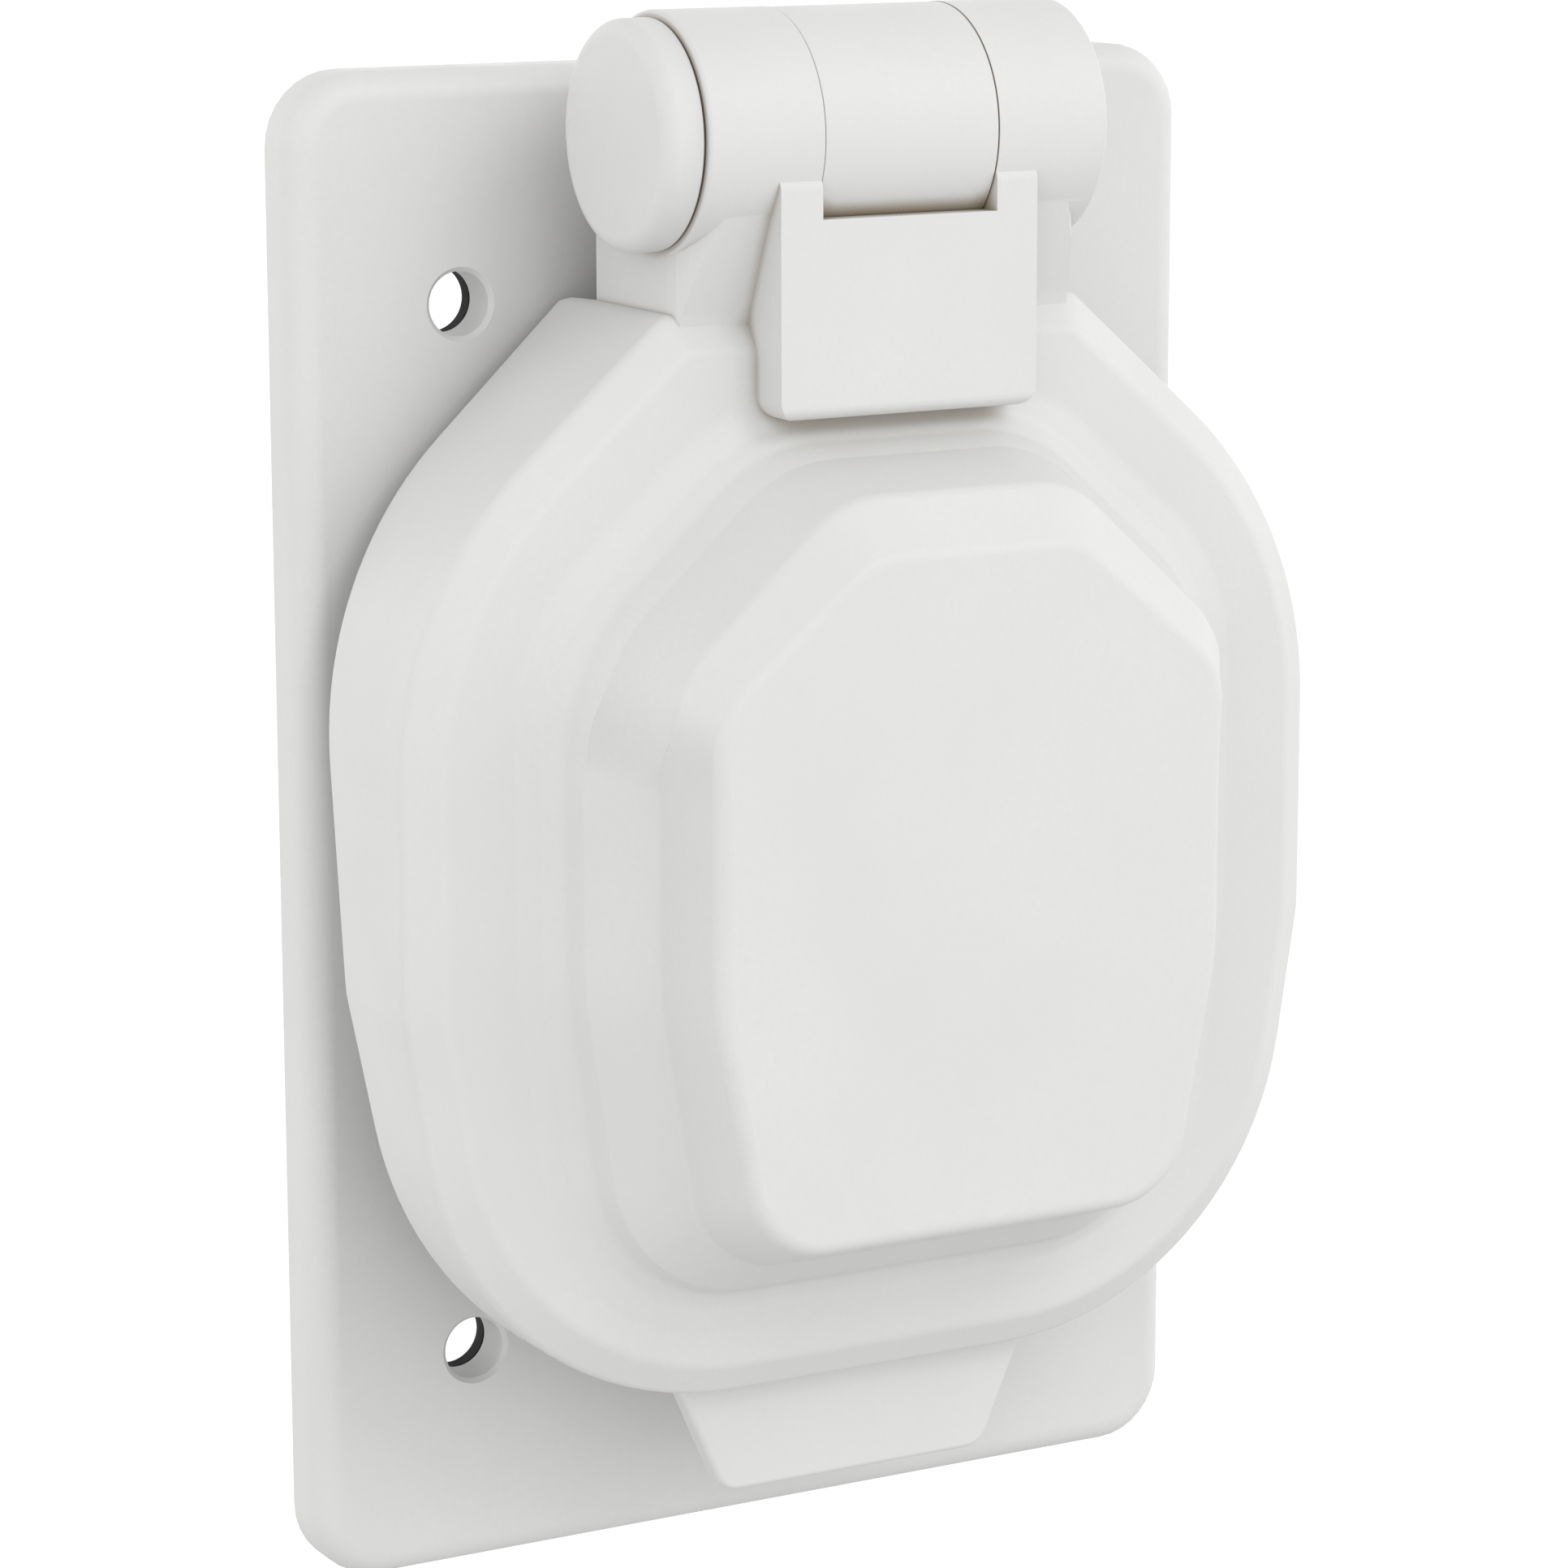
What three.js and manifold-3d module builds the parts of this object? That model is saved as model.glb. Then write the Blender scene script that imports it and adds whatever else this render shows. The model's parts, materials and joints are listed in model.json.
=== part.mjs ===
// Flanged power inlet on a wall plate, closed by a spring-loaded flip lid.
// Millimetres. X points right, Y into the wall and Z up, seen from the front. The origin is the centre of
// the plate's rear face, which sits on the wall box, so everything in front of the wall has a negative y.

import * as THREE from "three";
import { mergeVertices } from "three/addons/utils/BufferGeometryUtils.js";
import Module from "manifold-3d";

const wasm = await Module();
wasm.setup();

// ---- Driving dimensions ----

const GAP = 0.3; // between pieces that touch
const CENTRE_Z = -0.7; // height of the collar's and the inlet's axis

const PLATE = { width: 76.2, height: 114.3, thickness: 5, corner: 5.6, edge: 2.2 };
const MOUNT_HOLE = { radius: 2.4, x: 24.8, z: 40 };
const REAR_RECESS = { inset: 2.6, depth: 1.5 };
const BODY_OPENING_RADIUS = 21;
const WALL_GASKET_OPENING = 28;
const COLLAR = { inner: 31.5, outer: 34, front: -18.5, lip: 28.4, lipThickness: 1.2 };

const HINGE = { y: -19.5, z: 53, radius: 8.83, half: 16.4, middle: 6.9, bore: 2.8 };
const PIN = { radius: 2.5, left: -15.8, right: 15.4 };
const SPRING = { mean: 4.6, wire: 0.45, left: -14, right: -8.2, turns: 5, hole: 0.9 };
const SPRING_CHAMBER_RADIUS = 6.6;
const END_CAP = { radius: 8.3, thickness: 2.9, fillet: 1.9, spigot: 6.3, spigotLength: 2.2 };
const RETAINER = { inner: 2.8, outer: 4.2, left: 13.9, thickness: 1, counterbore: 4.6 };

const LID = { half: 38.4, bottom: -40.4, top: 40.4, sideCorner: 30.5, topCorner: 1.2 };
const LID_FOOT = { half: 33.5, corner: 25.3, z: -8.7, bend: 5 }; // lower sides of the lid
const DIAGONAL = { angle: THREE.MathUtils.degToRad(48.5), distance: 41.6 }; // upper sides of the lid
const SKIRT = { edge: -22.5, face: -24.3, bevel: 2.6, wall: 2.3 };
const RIM = { y: -11.2, slope: 0.125, top: 41, reliefHalf: 16.4, relief: -10.5 };
const CAP = { half: 20.9, low: 17.3, top: 24.3, topHalf: 8.4, shoulder: 13.9, waist: -7.5, bottom: -25.7 };
const CAP_FRONT = -37.8;
const CAP_WALL = 2.2;
const LUG = { rear: -10.5, front: -22.9, foot: 35, shoulder: 39.45 };
const MIDDLE_CLEARANCE = { half: 7.2, radius: 9.3, notch: 47.2 };
const STRAP = { half: 10.6, front: -28, rear: -23, bottom: 32.9, top: 50.5, neck: 38.95, edge: 0.7 };
const TAB = { front: -20, thickness: 2.2, bottom: -49.3, halfTop: 15.4, halfBottom: 11.3, corner: 2 };
const LID_GASKET = { inner: 30.6, outer: 34.6 };

const FLANGE = { radius: 30.9, rear: -6.8, front: -10.2 };
const FLANGE_SCREW = { x: 25.2, shaft: 1.75, head: 3.2, headHeight: 2.2 };
const SHROUD = { shrink: 3.6, wall: 1.8, front: -33.5 };
const SPIGOT = { radius: 20.6, rear: 3 };
const BLADE = { x: 6.35, z: -4.7, thickness: 1.5, front: -28.2, line: 6.35, neutral: 7.9, tip: 1 };
const GROUND = { z: 7.2, radius: 2.38, front: -30.6 };
const TAIL = { front: 3.3, rear: 19.3, width: 9, thickness: 1.5 };
const REAR_BODY = { front: 3.3, rear: 20, pocketHalf: 5.6, pocketFloor: 4.6 };
const REAR_COVER = { front: 20.3, rear: 26 };
const WIRE_ENTRY = { floor: 6.9, groundFloor: 8, half: 3 };
const TERMINAL = { y: 11.5, shaft: 1.75, head: 3.6, headHeight: 2.6, wireGap: 2.8, plate: 1.5 };
const CLAMP = { length: 10, width: 8.6 };
const BODY_SCREW = { shaft: 1.4, head: 2.8, headHeight: 2, hole: 1.7, recess: 3.2, tip: -5.5, depth: 3.2 };
const BODY_SCREW_PLACES = { top_left: [-12.5, 8.8], top_right: [12.5, 8.8], bottom: [0, -15.5] };

const SMALL = 16; // sides of a screw's shaft and its hole
const COARSE = 24; // sides of a small round
const KNUCKLE = 40; // sides of the hinge barrel
const FINE = 48; // sides of a large round
const ARC = 5; // half the steps of an outline's corner
const PAST = 1; // how far a cutting tool runs past the face that it cuts

// ---- Materials ----

function material(color, roughness, metalness = 0) {
  return new THREE.MeshStandardMaterial({ color, roughness, metalness });
}

const SHELL_PLASTIC = material(0xe2e1de, 0.55);
const INLET_NYLON = material(0xd8d7d2, 0.5);
const TERMINAL_NYLON = material(0x2b2c2e, 0.6);
const GASKET_RUBBER = material(0x1d1e1f, 0.9);
const BRASS = material(0xc8a24a, 0.3, 1);
const NICKEL = material(0xc9c8c3, 0.3, 1);
const STEEL = material(0xaeb0b2, 0.35, 1);
const GREEN_SCREW = material(0x2f7d46, 0.4, 0.6);

// ---- Solids ----

// A closed three.js geometry as a solid that can be joined and cut.
function solid(geometry) {
  const bare = new THREE.BufferGeometry().setAttribute("position", geometry.getAttribute("position"));
  bare.setIndex(geometry.getIndex());
  const merged = mergeVertices(bare, 1e-4);
  const triVerts = new Uint32Array(merged.getIndex().array);
  const vertProperties = merged.getAttribute("position").array;
  return new wasm.Manifold(new wasm.Mesh({ numProp: 3, vertProperties, triVerts }));
}

function join(...solids) {
  return solids.reduce((all, next) => all.add(next));
}

function cut(body, ...tools) {
  return tools.reduce((left, tool) => left.subtract(tool), body);
}

// A solid as a named mesh with its own material.
function piece(name, body, look) {
  const { vertProperties, triVerts } = body.getMesh();
  const geometry = new THREE.BufferGeometry();
  geometry.setAttribute("position", new THREE.BufferAttribute(vertProperties, 3));
  geometry.setIndex(new THREE.BufferAttribute(triVerts, 1));
  const mesh = new THREE.Mesh(geometry.toNonIndexed(), look.clone());
  mesh.geometry.computeVertexNormals();
  mesh.name = name;
  return mesh;
}

// An outline in x and z, extruded from y = back forwards to y = front.
function alongY(shape, front, back) {
  const options = { depth: back - front, bevelEnabled: false, curveSegments: ARC };
  return solid(new THREE.ExtrudeGeometry(shape, options).rotateX(Math.PI / 2).translate(0, back, 0));
}

// An outline in y and z, extruded from x = left to x = right.
function alongX(shape, left, right) {
  const options = { depth: right - left, bevelEnabled: false, curveSegments: ARC };
  const turn = new THREE.Matrix4().makeBasis(
    new THREE.Vector3(0, 1, 0),
    new THREE.Vector3(0, 0, 1),
    new THREE.Vector3(1, 0, 0),
  );
  return solid(new THREE.ExtrudeGeometry(shape, options).applyMatrix4(turn).translate(left, 0, 0));
}

function box(low, high) {
  const size = high.map((value, i) => value - low[i]);
  const centre = high.map((value, i) => (value + low[i]) / 2);
  return solid(new THREE.BoxGeometry(...size).translate(...centre));
}

function rodX(radius, left, right, y = HINGE.y, z = HINGE.z, sides = COARSE) {
  const rod = new THREE.CylinderGeometry(radius, radius, right - left, sides);
  return solid(rod.rotateZ(Math.PI / 2).translate((left + right) / 2, y, z));
}

function rodY(radius, front, back, x = 0, z = CENTRE_Z, sides = COARSE) {
  const rod = new THREE.CylinderGeometry(radius, radius, back - front, sides);
  return solid(rod.translate(0, (front + back) / 2, 0).translate(x, 0, z));
}

function rodZ(radius, low, high, x, y, sides = COARSE) {
  const rod = new THREE.CylinderGeometry(radius, radius, high - low, sides);
  return solid(rod.rotateX(Math.PI / 2).translate(x, y, (low + high) / 2));
}

function ringY(inner, outer, front, back) {
  const bore = rodY(inner, front - PAST, back + PAST, 0, CENTRE_Z, FINE);
  return cut(rodY(outer, front, back, 0, CENTRE_Z, FINE), bore);
}

// ---- Outlines ----

// A closed outline from corners [x, z, radius], anticlockwise, each corner an arc.
function rounded(corners) {
  const shape = new THREE.Shape();
  corners.forEach(([x, z, radius = 0], i) => {
    const corner = new THREE.Vector2(x, z);
    const [bx, bz] = corners[(i + corners.length - 1) % corners.length];
    const [ax, az] = corners[(i + 1) % corners.length];
    if (!radius) {
      if (i) shape.lineTo(x, z);
      else shape.moveTo(x, z);
      return;
    }
    const before = new THREE.Vector2(bx, bz).sub(corner).normalize();
    const after = new THREE.Vector2(ax, az).sub(corner).normalize();
    const halfAngle = Math.acos(before.dot(after)) / 2;
    const reach = radius / Math.sin(halfAngle);
    const centre = before.clone().add(after).setLength(reach).add(corner);
    const start = before.clone().multiplyScalar(radius / Math.tan(halfAngle)).add(corner).sub(centre);
    const end = after.clone().multiplyScalar(radius / Math.tan(halfAngle)).add(corner).sub(centre);
    const clockwise = before.cross(after) > 0;
    shape.absarc(centre.x, centre.y, radius, start.angle(), end.angle(), clockwise);
  });
  shape.closePath();
  return shape;
}

// The right-hand corners, from the bottom up, with their mirror images.
function mirrored(right) {
  const left = right.map(([x, z, radius]) => [-x, z, radius]).reverse();
  return rounded([...right, ...left]);
}

function plateOutline(inset) {
  const half = PLATE.width / 2 - inset;
  const rise = PLATE.height / 2 - inset;
  const corner = PLATE.corner - inset;
  return mirrored([
    [half, -rise, corner],
    [half, rise, corner],
  ]);
}

// The lid: round below, with slightly slanting sides and straight shoulders that run up to the hinge lug.
function lidOutline(inset) {
  const half = LID.half - inset;
  const top = LID.top - inset;
  const reach = DIAGONAL.distance - inset;
  const slopeX = Math.cos(DIAGONAL.angle);
  const slopeZ = Math.sin(DIAGONAL.angle);
  return mirrored([
    [LID_FOOT.half - inset, LID.bottom + inset, LID_FOOT.corner - inset],
    [half, LID_FOOT.z, LID_FOOT.bend],
    [half, (reach - slopeX * half) / slopeZ, LID.sideCorner - inset],
    [(reach - slopeZ * top) / slopeX, top, LID.topCorner],
  ]);
}

// The stepped cap in the lid's middle, grown at its sides, top and bottom.
function capOutline([side, top, bottom]) {
  return mirrored([
    [CAP.low + side, CAP.bottom - bottom, 6 + side / 2],
    [CAP.half + side, CAP.waist, 12],
    [CAP.half + side, CAP.shoulder + top / 2, 5 + side / 2],
    [CAP.topHalf + side / 2, CAP.top + top, 4 + side / 2],
  ]);
}

// A solid skin over outlines at several depths, from the back forwards.
function loft(sections) {
  const rings = sections.map(([y, shape]) => ({ y, points: shape.extractPoints(ARC).shape }));
  const keep = rings[0].points.map((p, i, all) => p.distanceTo(all[(i + 1) % all.length]) > 1e-3);
  rings.forEach((ring) => (ring.points = ring.points.filter((_, i) => keep[i])));
  const count = rings[0].points.length;
  const positions = rings.flatMap(({ y, points }) => points.flatMap((p) => [p.x, y, p.y]));
  const faces = [];
  for (let level = 0; level + 1 < rings.length; level++) {
    for (let i = 0; i < count; i++) {
      const here = level * count + i;
      const next = level * count + ((i + 1) % count);
      faces.push(here, next, next + count, here, next + count, here + count);
    }
  }
  const front = (rings.length - 1) * count;
  const capFaces = (ring) => THREE.ShapeUtils.triangulateShape(ring.points, []);
  capFaces(rings[0]).forEach(([a, b, c]) => faces.push(a, c, b));
  capFaces(rings.at(-1)).forEach(([a, b, c]) => faces.push(front + a, front + b, front + c));
  const geometry = new THREE.BufferGeometry();
  geometry.setAttribute("position", new THREE.Float32BufferAttribute(positions, 3));
  return solid(geometry.setIndex(faces));
}

// ---- Wall plate ----

function wallPlate() {
  const front = -PLATE.thickness;
  const start = front - PAST;
  const slab = loft([
    [0, plateOutline(0)],
    [front + PLATE.edge, plateOutline(0)],
    [front + PLATE.edge * 0.5, plateOutline(PLATE.edge * 0.14)],
    [front + PLATE.edge * 0.14, plateOutline(PLATE.edge * 0.5)],
    [front, plateOutline(PLATE.edge)],
  ]);
  const knuckle = rodX(HINGE.radius - 0.2, -HINGE.middle, HINGE.middle, HINGE.y, HINGE.z, KNUCKLE);
  const arm = alongX(armProfile(), -HINGE.middle, HINGE.middle);
  const holes = [-1, 1].flatMap((sideX) => [
    rodY(MOUNT_HOLE.radius, start, PAST, sideX * MOUNT_HOLE.x, -MOUNT_HOLE.z),
    rodY(MOUNT_HOLE.radius, start, PAST, sideX * MOUNT_HOLE.x, MOUNT_HOLE.z),
    rodY(FLANGE_SCREW.shaft + GAP, start, PAST, sideX * FLANGE_SCREW.x),
  ]);
  return cut(
    join(slab, arm, knuckle),
    rodY(BODY_OPENING_RADIUS, start, PAST, 0, CENTRE_Z, FINE),
    alongY(plateOutline(REAR_RECESS.inset), -REAR_RECESS.depth, PAST),
    rodX(HINGE.bore, -HINGE.half, HINGE.half),
    rodX(SPRING.hole, -HINGE.half, -HINGE.middle + 4.4, HINGE.y + SPRING.mean, HINGE.z, 12),
    ...holes,
  );
}

// The ring that the lid's gasket closes on. The inlet's flange clamps its inner lip to the plate.
function sealCollar() {
  const { inner, outer, front, lip, lipThickness } = COLLAR;
  const rear = -PLATE.thickness - GAP;
  return join(ringY(inner, outer, front, rear), ringY(lip, inner + PAST, rear - lipThickness, rear));
}

// The web that carries the middle knuckle: level below, sloping back to the plate's top edge above.
function armProfile() {
  const inPlate = -PLATE.thickness + 1.5;
  return rounded([
    [HINGE.y, HINGE.z - 6.5],
    [inPlate, HINGE.z - 6.5],
    [inPlate, PLATE.height / 2 - 0.6],
    [-PLATE.thickness - 1, PLATE.height / 2],
    [HINGE.y + 5.5, HINGE.z + 6.5],
    [HINGE.y, HINGE.z + HINGE.radius - 0.5],
  ]);
}

function wallGasket() {
  const sheet = alongY(plateOutline(REAR_RECESS.inset + GAP), GAP - REAR_RECESS.depth, 0);
  const start = -REAR_RECESS.depth - PAST;
  const radius = MOUNT_HOLE.radius + 2 * GAP;
  const holes = [-1, 1].flatMap((sideX) =>
    [-1, 1].map((sideZ) => rodY(radius, start, PAST, sideX * MOUNT_HOLE.x, sideZ * MOUNT_HOLE.z)),
  );
  return cut(sheet, rodY(WALL_GASKET_OPENING, start, PAST, 0, CENTRE_Z, FINE), ...holes);
}

// ---- Lid ----

function flipLid() {
  const shell = join(lidOuter(), hingeLug(), guardStrap(), liftTab());
  return cut(
    shell,
    lidInner(),
    behindRim(),
    middleClearance(),
    rodX(SPRING_CHAMBER_RADIUS, -HINGE.half - PAST, -HINGE.middle, HINGE.y, HINGE.z, COARSE),
    rodX(HINGE.bore, HINGE.middle, HINGE.half + PAST),
    rodX(RETAINER.counterbore, RETAINER.left - GAP, HINGE.half + PAST),
  );
}

// Everything behind the skirt's slanting rim, which stops short under the hinge to clear the collar.
function behindRim() {
  const { y, slope, top, reliefHalf, relief } = RIM;
  const low = LID.bottom - PAST;
  const wedge = rounded([
    [y + slope * low, low],
    [PAST, low],
    [PAST, top],
    [y + slope * top, top],
  ]);
  const reach = LID.half + PAST;
  const underHinge = box([-reliefHalf, relief, LUG.foot - PAST], [reliefHalf, PAST, top]);
  return join(alongX(wedge, -reach, reach), underHinge);
}

function lidOuter() {
  const { edge, face, bevel } = SKIRT;
  const skirt = loft([
    [0, lidOutline(0)],
    [edge, lidOutline(0)],
    [edge - (edge - face) * 0.6, lidOutline(bevel * 0.3)],
    [face, lidOutline(bevel)],
  ]);
  const cap = loft([
    [face + 1, capOutline([5.2, 6.4, 6.2])],
    [face - 0.3, capOutline([4.6, 6.0, 5.6])],
    [-26.2, capOutline([3.5, 5.2, 4.6])],
    [-30.5, capOutline([1.2, 3.4, 2.6])],
    [CAP_FRONT + 1.3, capOutline([0.2, 0.6, 0.4])],
    [CAP_FRONT + 0.4, capOutline([-0.2, 0, -0.1])],
    [CAP_FRONT, capOutline([-1.1, -1, -1])],
  ]);
  return join(skirt, cap);
}

function lidInner() {
  const shell = lidOutline(SKIRT.wall);
  const skirt = alongY(shell, SKIRT.face + SKIRT.wall, PAST);
  const cap = loft([
    [SKIRT.face + SKIRT.wall + 0.5, capOutline([2.9, 4.1, 3.8])],
    [-26.2, capOutline([1.2, 2.9, 2.3])],
    [-30.5, capOutline([-0.9, 1.2, 0.4])],
    [CAP_FRONT + CAP_WALL + 0.8, capOutline([-1.8, -1.1, -1.3])],
    [CAP_FRONT + CAP_WALL, capOutline([-2.6, -2, -2.1])],
  ]);
  return join(skirt, cap);
}

// The lug that joins the lid to its two outer knuckles, and the barrel they make.
function hingeLug() {
  const profile = rounded([
    [LUG.front, LUG.foot],
    [LUG.rear, LUG.foot],
    [LUG.rear, HINGE.z - 4],
    [HINGE.y + HINGE.radius - 0.1, HINGE.z],
    [HINGE.y, HINGE.z],
    [HINGE.y - 6.9, HINGE.z - 5.5],
    [LUG.front, LUG.shoulder],
  ]);
  const barrel = rodX(HINGE.radius, -HINGE.half, HINGE.half, HINGE.y, HINGE.z, KNUCKLE);
  return join(alongX(profile, -HINGE.half, HINGE.half), barrel);
}

// The flat strap in front of the barrel, which guards the notch for the middle knuckle.
function guardStrap() {
  const { half, front, rear, bottom, top, neck, edge } = STRAP;
  const profile = rounded([
    [front, bottom + edge],
    [front + edge, bottom],
    [rear, bottom],
    [rear, neck],
    [HINGE.y, top],
    [front + edge, top],
    [front, top - edge],
  ]);
  return alongX(profile, -half, half);
}

function liftTab() {
  const { front, thickness, bottom, halfTop, halfBottom, corner } = TAB;
  const outline = mirrored([
    [halfBottom, bottom, corner],
    [halfTop, LID.bottom + 0.6],
  ]);
  return alongY(outline, front, front + thickness);
}

// Room for the base's knuckle and its web between the outer knuckles.
function middleClearance() {
  const { half, radius, notch } = MIDDLE_CLEARANCE;
  const top = HINGE.z + radius + PAST;
  return join(
    rodX(radius, -half, half, HINGE.y, HINGE.z, KNUCKLE),
    box([-half, HINGE.y, HINGE.z - radius], [half, 0, top]),
    box([-half, STRAP.front - PAST, notch], [half, HINGE.y + PAST, top]),
  );
}

function lidGasket() {
  const seat = SKIRT.face + SKIRT.wall + GAP;
  return ringY(LID_GASKET.inner, LID_GASKET.outer, seat, COLLAR.front - GAP);
}

// ---- Hinge ----

function hingePin() {
  const profile = [
    [0, PIN.left],
    [PIN.radius - 0.4, PIN.left],
    [PIN.radius, PIN.left + 0.4],
    [PIN.radius, PIN.right - 0.4],
    [PIN.radius - 0.4, PIN.right],
    [0, PIN.right],
  ];
  return latheX(profile, COARSE);
}

// A profile of [radius, x] pairs from the left end to the right, turned about the hinge axis.
function latheX(profile, sides) {
  const points = profile.map(([radius, x]) => new THREE.Vector2(radius, x));
  const turned = new THREE.LatheGeometry(points, sides).rotateZ(-Math.PI / 2);
  return solid(turned.translate(0, HINGE.y, HINGE.z));
}

function hingeEndCap() {
  const { radius, thickness, fillet, spigot, spigotLength } = END_CAP;
  const seat = -HINGE.half - GAP;
  const outer = seat - thickness;
  const profile = [[0, outer]];
  for (let step = 0; step <= 4; step++) {
    const angle = (step / 4) * (Math.PI / 2);
    profile.push([radius - fillet + fillet * Math.sin(angle), outer + fillet - fillet * Math.cos(angle)]);
  }
  const bore = PIN.radius + GAP;
  profile.push([radius, seat], [spigot, seat], [spigot, seat + spigotLength]);
  profile.push([bore, seat + spigotLength], [bore, PIN.left - GAP], [0, PIN.left - GAP]);
  return latheX(profile, KNUCKLE);
}

function hingePinRetainer() {
  const { inner, outer, left, thickness } = RETAINER;
  return cut(rodX(outer, left, left + thickness), rodX(inner, left - PAST, left + thickness + PAST));
}

// A coil round the pin, with a straight leg into the middle knuckle and a short leg out to the lid.
function torsionSpring() {
  const { mean, wire, left, right, turns } = SPRING;
  const steps = 12 * turns;
  const place = (x, radius, angle) =>
    new THREE.Vector3(x, HINGE.y + radius * Math.cos(angle), HINGE.z + radius * Math.sin(angle));
  const route = [place(left, SPRING_CHAMBER_RADIUS - 0.7, -0.35)];
  for (let step = 0; step <= steps; step++) {
    const share = step / steps;
    route.push(place(left + (right - left) * share, mean, 2 * Math.PI * turns * share));
  }
  route.push(place(right + 1.1, mean, 0.02));
  route.push(place(-HINGE.middle + 1.6, mean, 0), place(-HINGE.middle + 3.6, mean, 0));
  const extrudePath = new THREE.CatmullRomCurve3(route);
  const section = new THREE.Shape().absarc(0, 0, wire, 0, 2 * Math.PI);
  return solid(new THREE.ExtrudeGeometry(section, { extrudePath, steps: 84, curveSegments: 3 }));
}

// ---- Inlet ----

function shroudOutline(shrink) {
  return capOutline([-shrink, -shrink, -shrink]);
}

function bladeWidth(side) {
  return side > 0 ? BLADE.line : BLADE.neutral;
}

// Slots for the two blades and the ground pin, a little larger than the contacts.
function contactSlots(front, back) {
  const slots = [-1, 1].map((side) => {
    const reach = BLADE.thickness / 2 + GAP;
    const rise = bladeWidth(side) / 2 + GAP;
    const x = side * BLADE.x;
    return box([x - reach, front, BLADE.z - rise], [x + reach, back, BLADE.z + rise]);
  });
  return [...slots, rodY(GROUND.radius + GAP, front, back, 0, GROUND.z)];
}

function inletFrontBody() {
  const flange = rodY(FLANGE.radius, FLANGE.front, FLANGE.rear, 0, CENTRE_Z, FINE);
  const spigot = rodY(SPIGOT.radius, FLANGE.rear - PAST, SPIGOT.rear, 0, CENTRE_Z, FINE);
  const shroud = alongY(shroudOutline(SHROUD.shrink), SHROUD.front, FLANGE.front + PAST);
  const socket = alongY(shroudOutline(SHROUD.shrink + SHROUD.wall), SHROUD.front - PAST, FLANGE.front);
  const screwHoles = Object.values(BODY_SCREW_PLACES).map(([x, z]) =>
    rodY(BODY_SCREW.hole, BODY_SCREW.tip - GAP, SPIGOT.rear + PAST, x, z, SMALL),
  );
  const flangeHoles = [-1, 1].map((side) =>
    rodY(FLANGE_SCREW.shaft + GAP, FLANGE.front - PAST, FLANGE.rear + PAST, side * FLANGE_SCREW.x),
  );
  const slots = contactSlots(FLANGE.front - PAST, SPIGOT.rear + PAST);
  return cut(join(flange, spigot, shroud), socket, ...slots, ...screwHoles, ...flangeHoles);
}

function flangeGasket() {
  const ring = ringY(BODY_OPENING_RADIUS + GAP, COLLAR.lip - GAP, FLANGE.rear + GAP, -PLATE.thickness - GAP);
  const radius = FLANGE_SCREW.shaft + 0.45;
  const holes = [-1, 1].map((side) => rodY(radius, FLANGE.rear - PAST, 0, side * FLANGE_SCREW.x));
  return cut(ring, ...holes);
}

// The terminal block: a drum with an open pocket for each terminal.
function inletRearBody() {
  const { front, rear, pocketHalf, pocketFloor } = REAR_BODY;
  const start = front - PAST;
  const end = rear + PAST;
  const open = SPIGOT.radius + PAST;
  const low = BLADE.z - pocketHalf;
  const high = BLADE.z + pocketHalf;
  const groundFloor = GROUND.z - GROUND.radius - 0.5;
  const tipRoom = TERMINAL.shaft + 0.45;
  const tipDepth = 2.6;
  const groundTipDepth = 1.7;
  const screwHoles = Object.values(BODY_SCREW_PLACES).map(([x, z]) =>
    rodY(BODY_SCREW.hole, start, end, x, z, SMALL),
  );
  return cut(
    rodY(SPIGOT.radius, front, rear, 0, CENTRE_Z, FINE),
    box([pocketFloor, start, low], [open, end, high]),
    box([-open, start, low], [-pocketFloor, end, high]),
    box([-pocketHalf, start, groundFloor], [pocketHalf, end, open]),
    rodX(tipRoom, pocketFloor - tipDepth, pocketFloor + PAST, TERMINAL.y, BLADE.z, SMALL),
    rodX(tipRoom, -pocketFloor - PAST, tipDepth - pocketFloor, TERMINAL.y, BLADE.z, SMALL),
    rodZ(tipRoom, groundFloor - groundTipDepth, groundFloor + PAST, 0, TERMINAL.y, SMALL),
    ...screwHoles,
  );
}

// The cover that closes the pockets behind, with a wire slot at each and the heads of the body screws.
function inletRearCover() {
  const { front, rear } = REAR_COVER;
  const { floor, groundFloor, half } = WIRE_ENTRY;
  const start = front - PAST;
  const end = rear + PAST;
  const open = SPIGOT.radius + PAST;
  const screwHoles = Object.values(BODY_SCREW_PLACES).flatMap(([x, z]) => [
    rodY(BODY_SCREW.hole, start, end, x, z, SMALL),
    rodY(BODY_SCREW.recess, rear - BODY_SCREW.depth, end, x, z),
  ]);
  return cut(
    rodY(SPIGOT.radius, front, rear, 0, CENTRE_Z, FINE),
    box([floor, start, BLADE.z - half], [open, end, BLADE.z + half]),
    box([-open, start, BLADE.z - half], [-floor, end, BLADE.z + half]),
    box([-half, start, groundFloor], [half, end, open]),
    ...screwHoles,
  );
}

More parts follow.
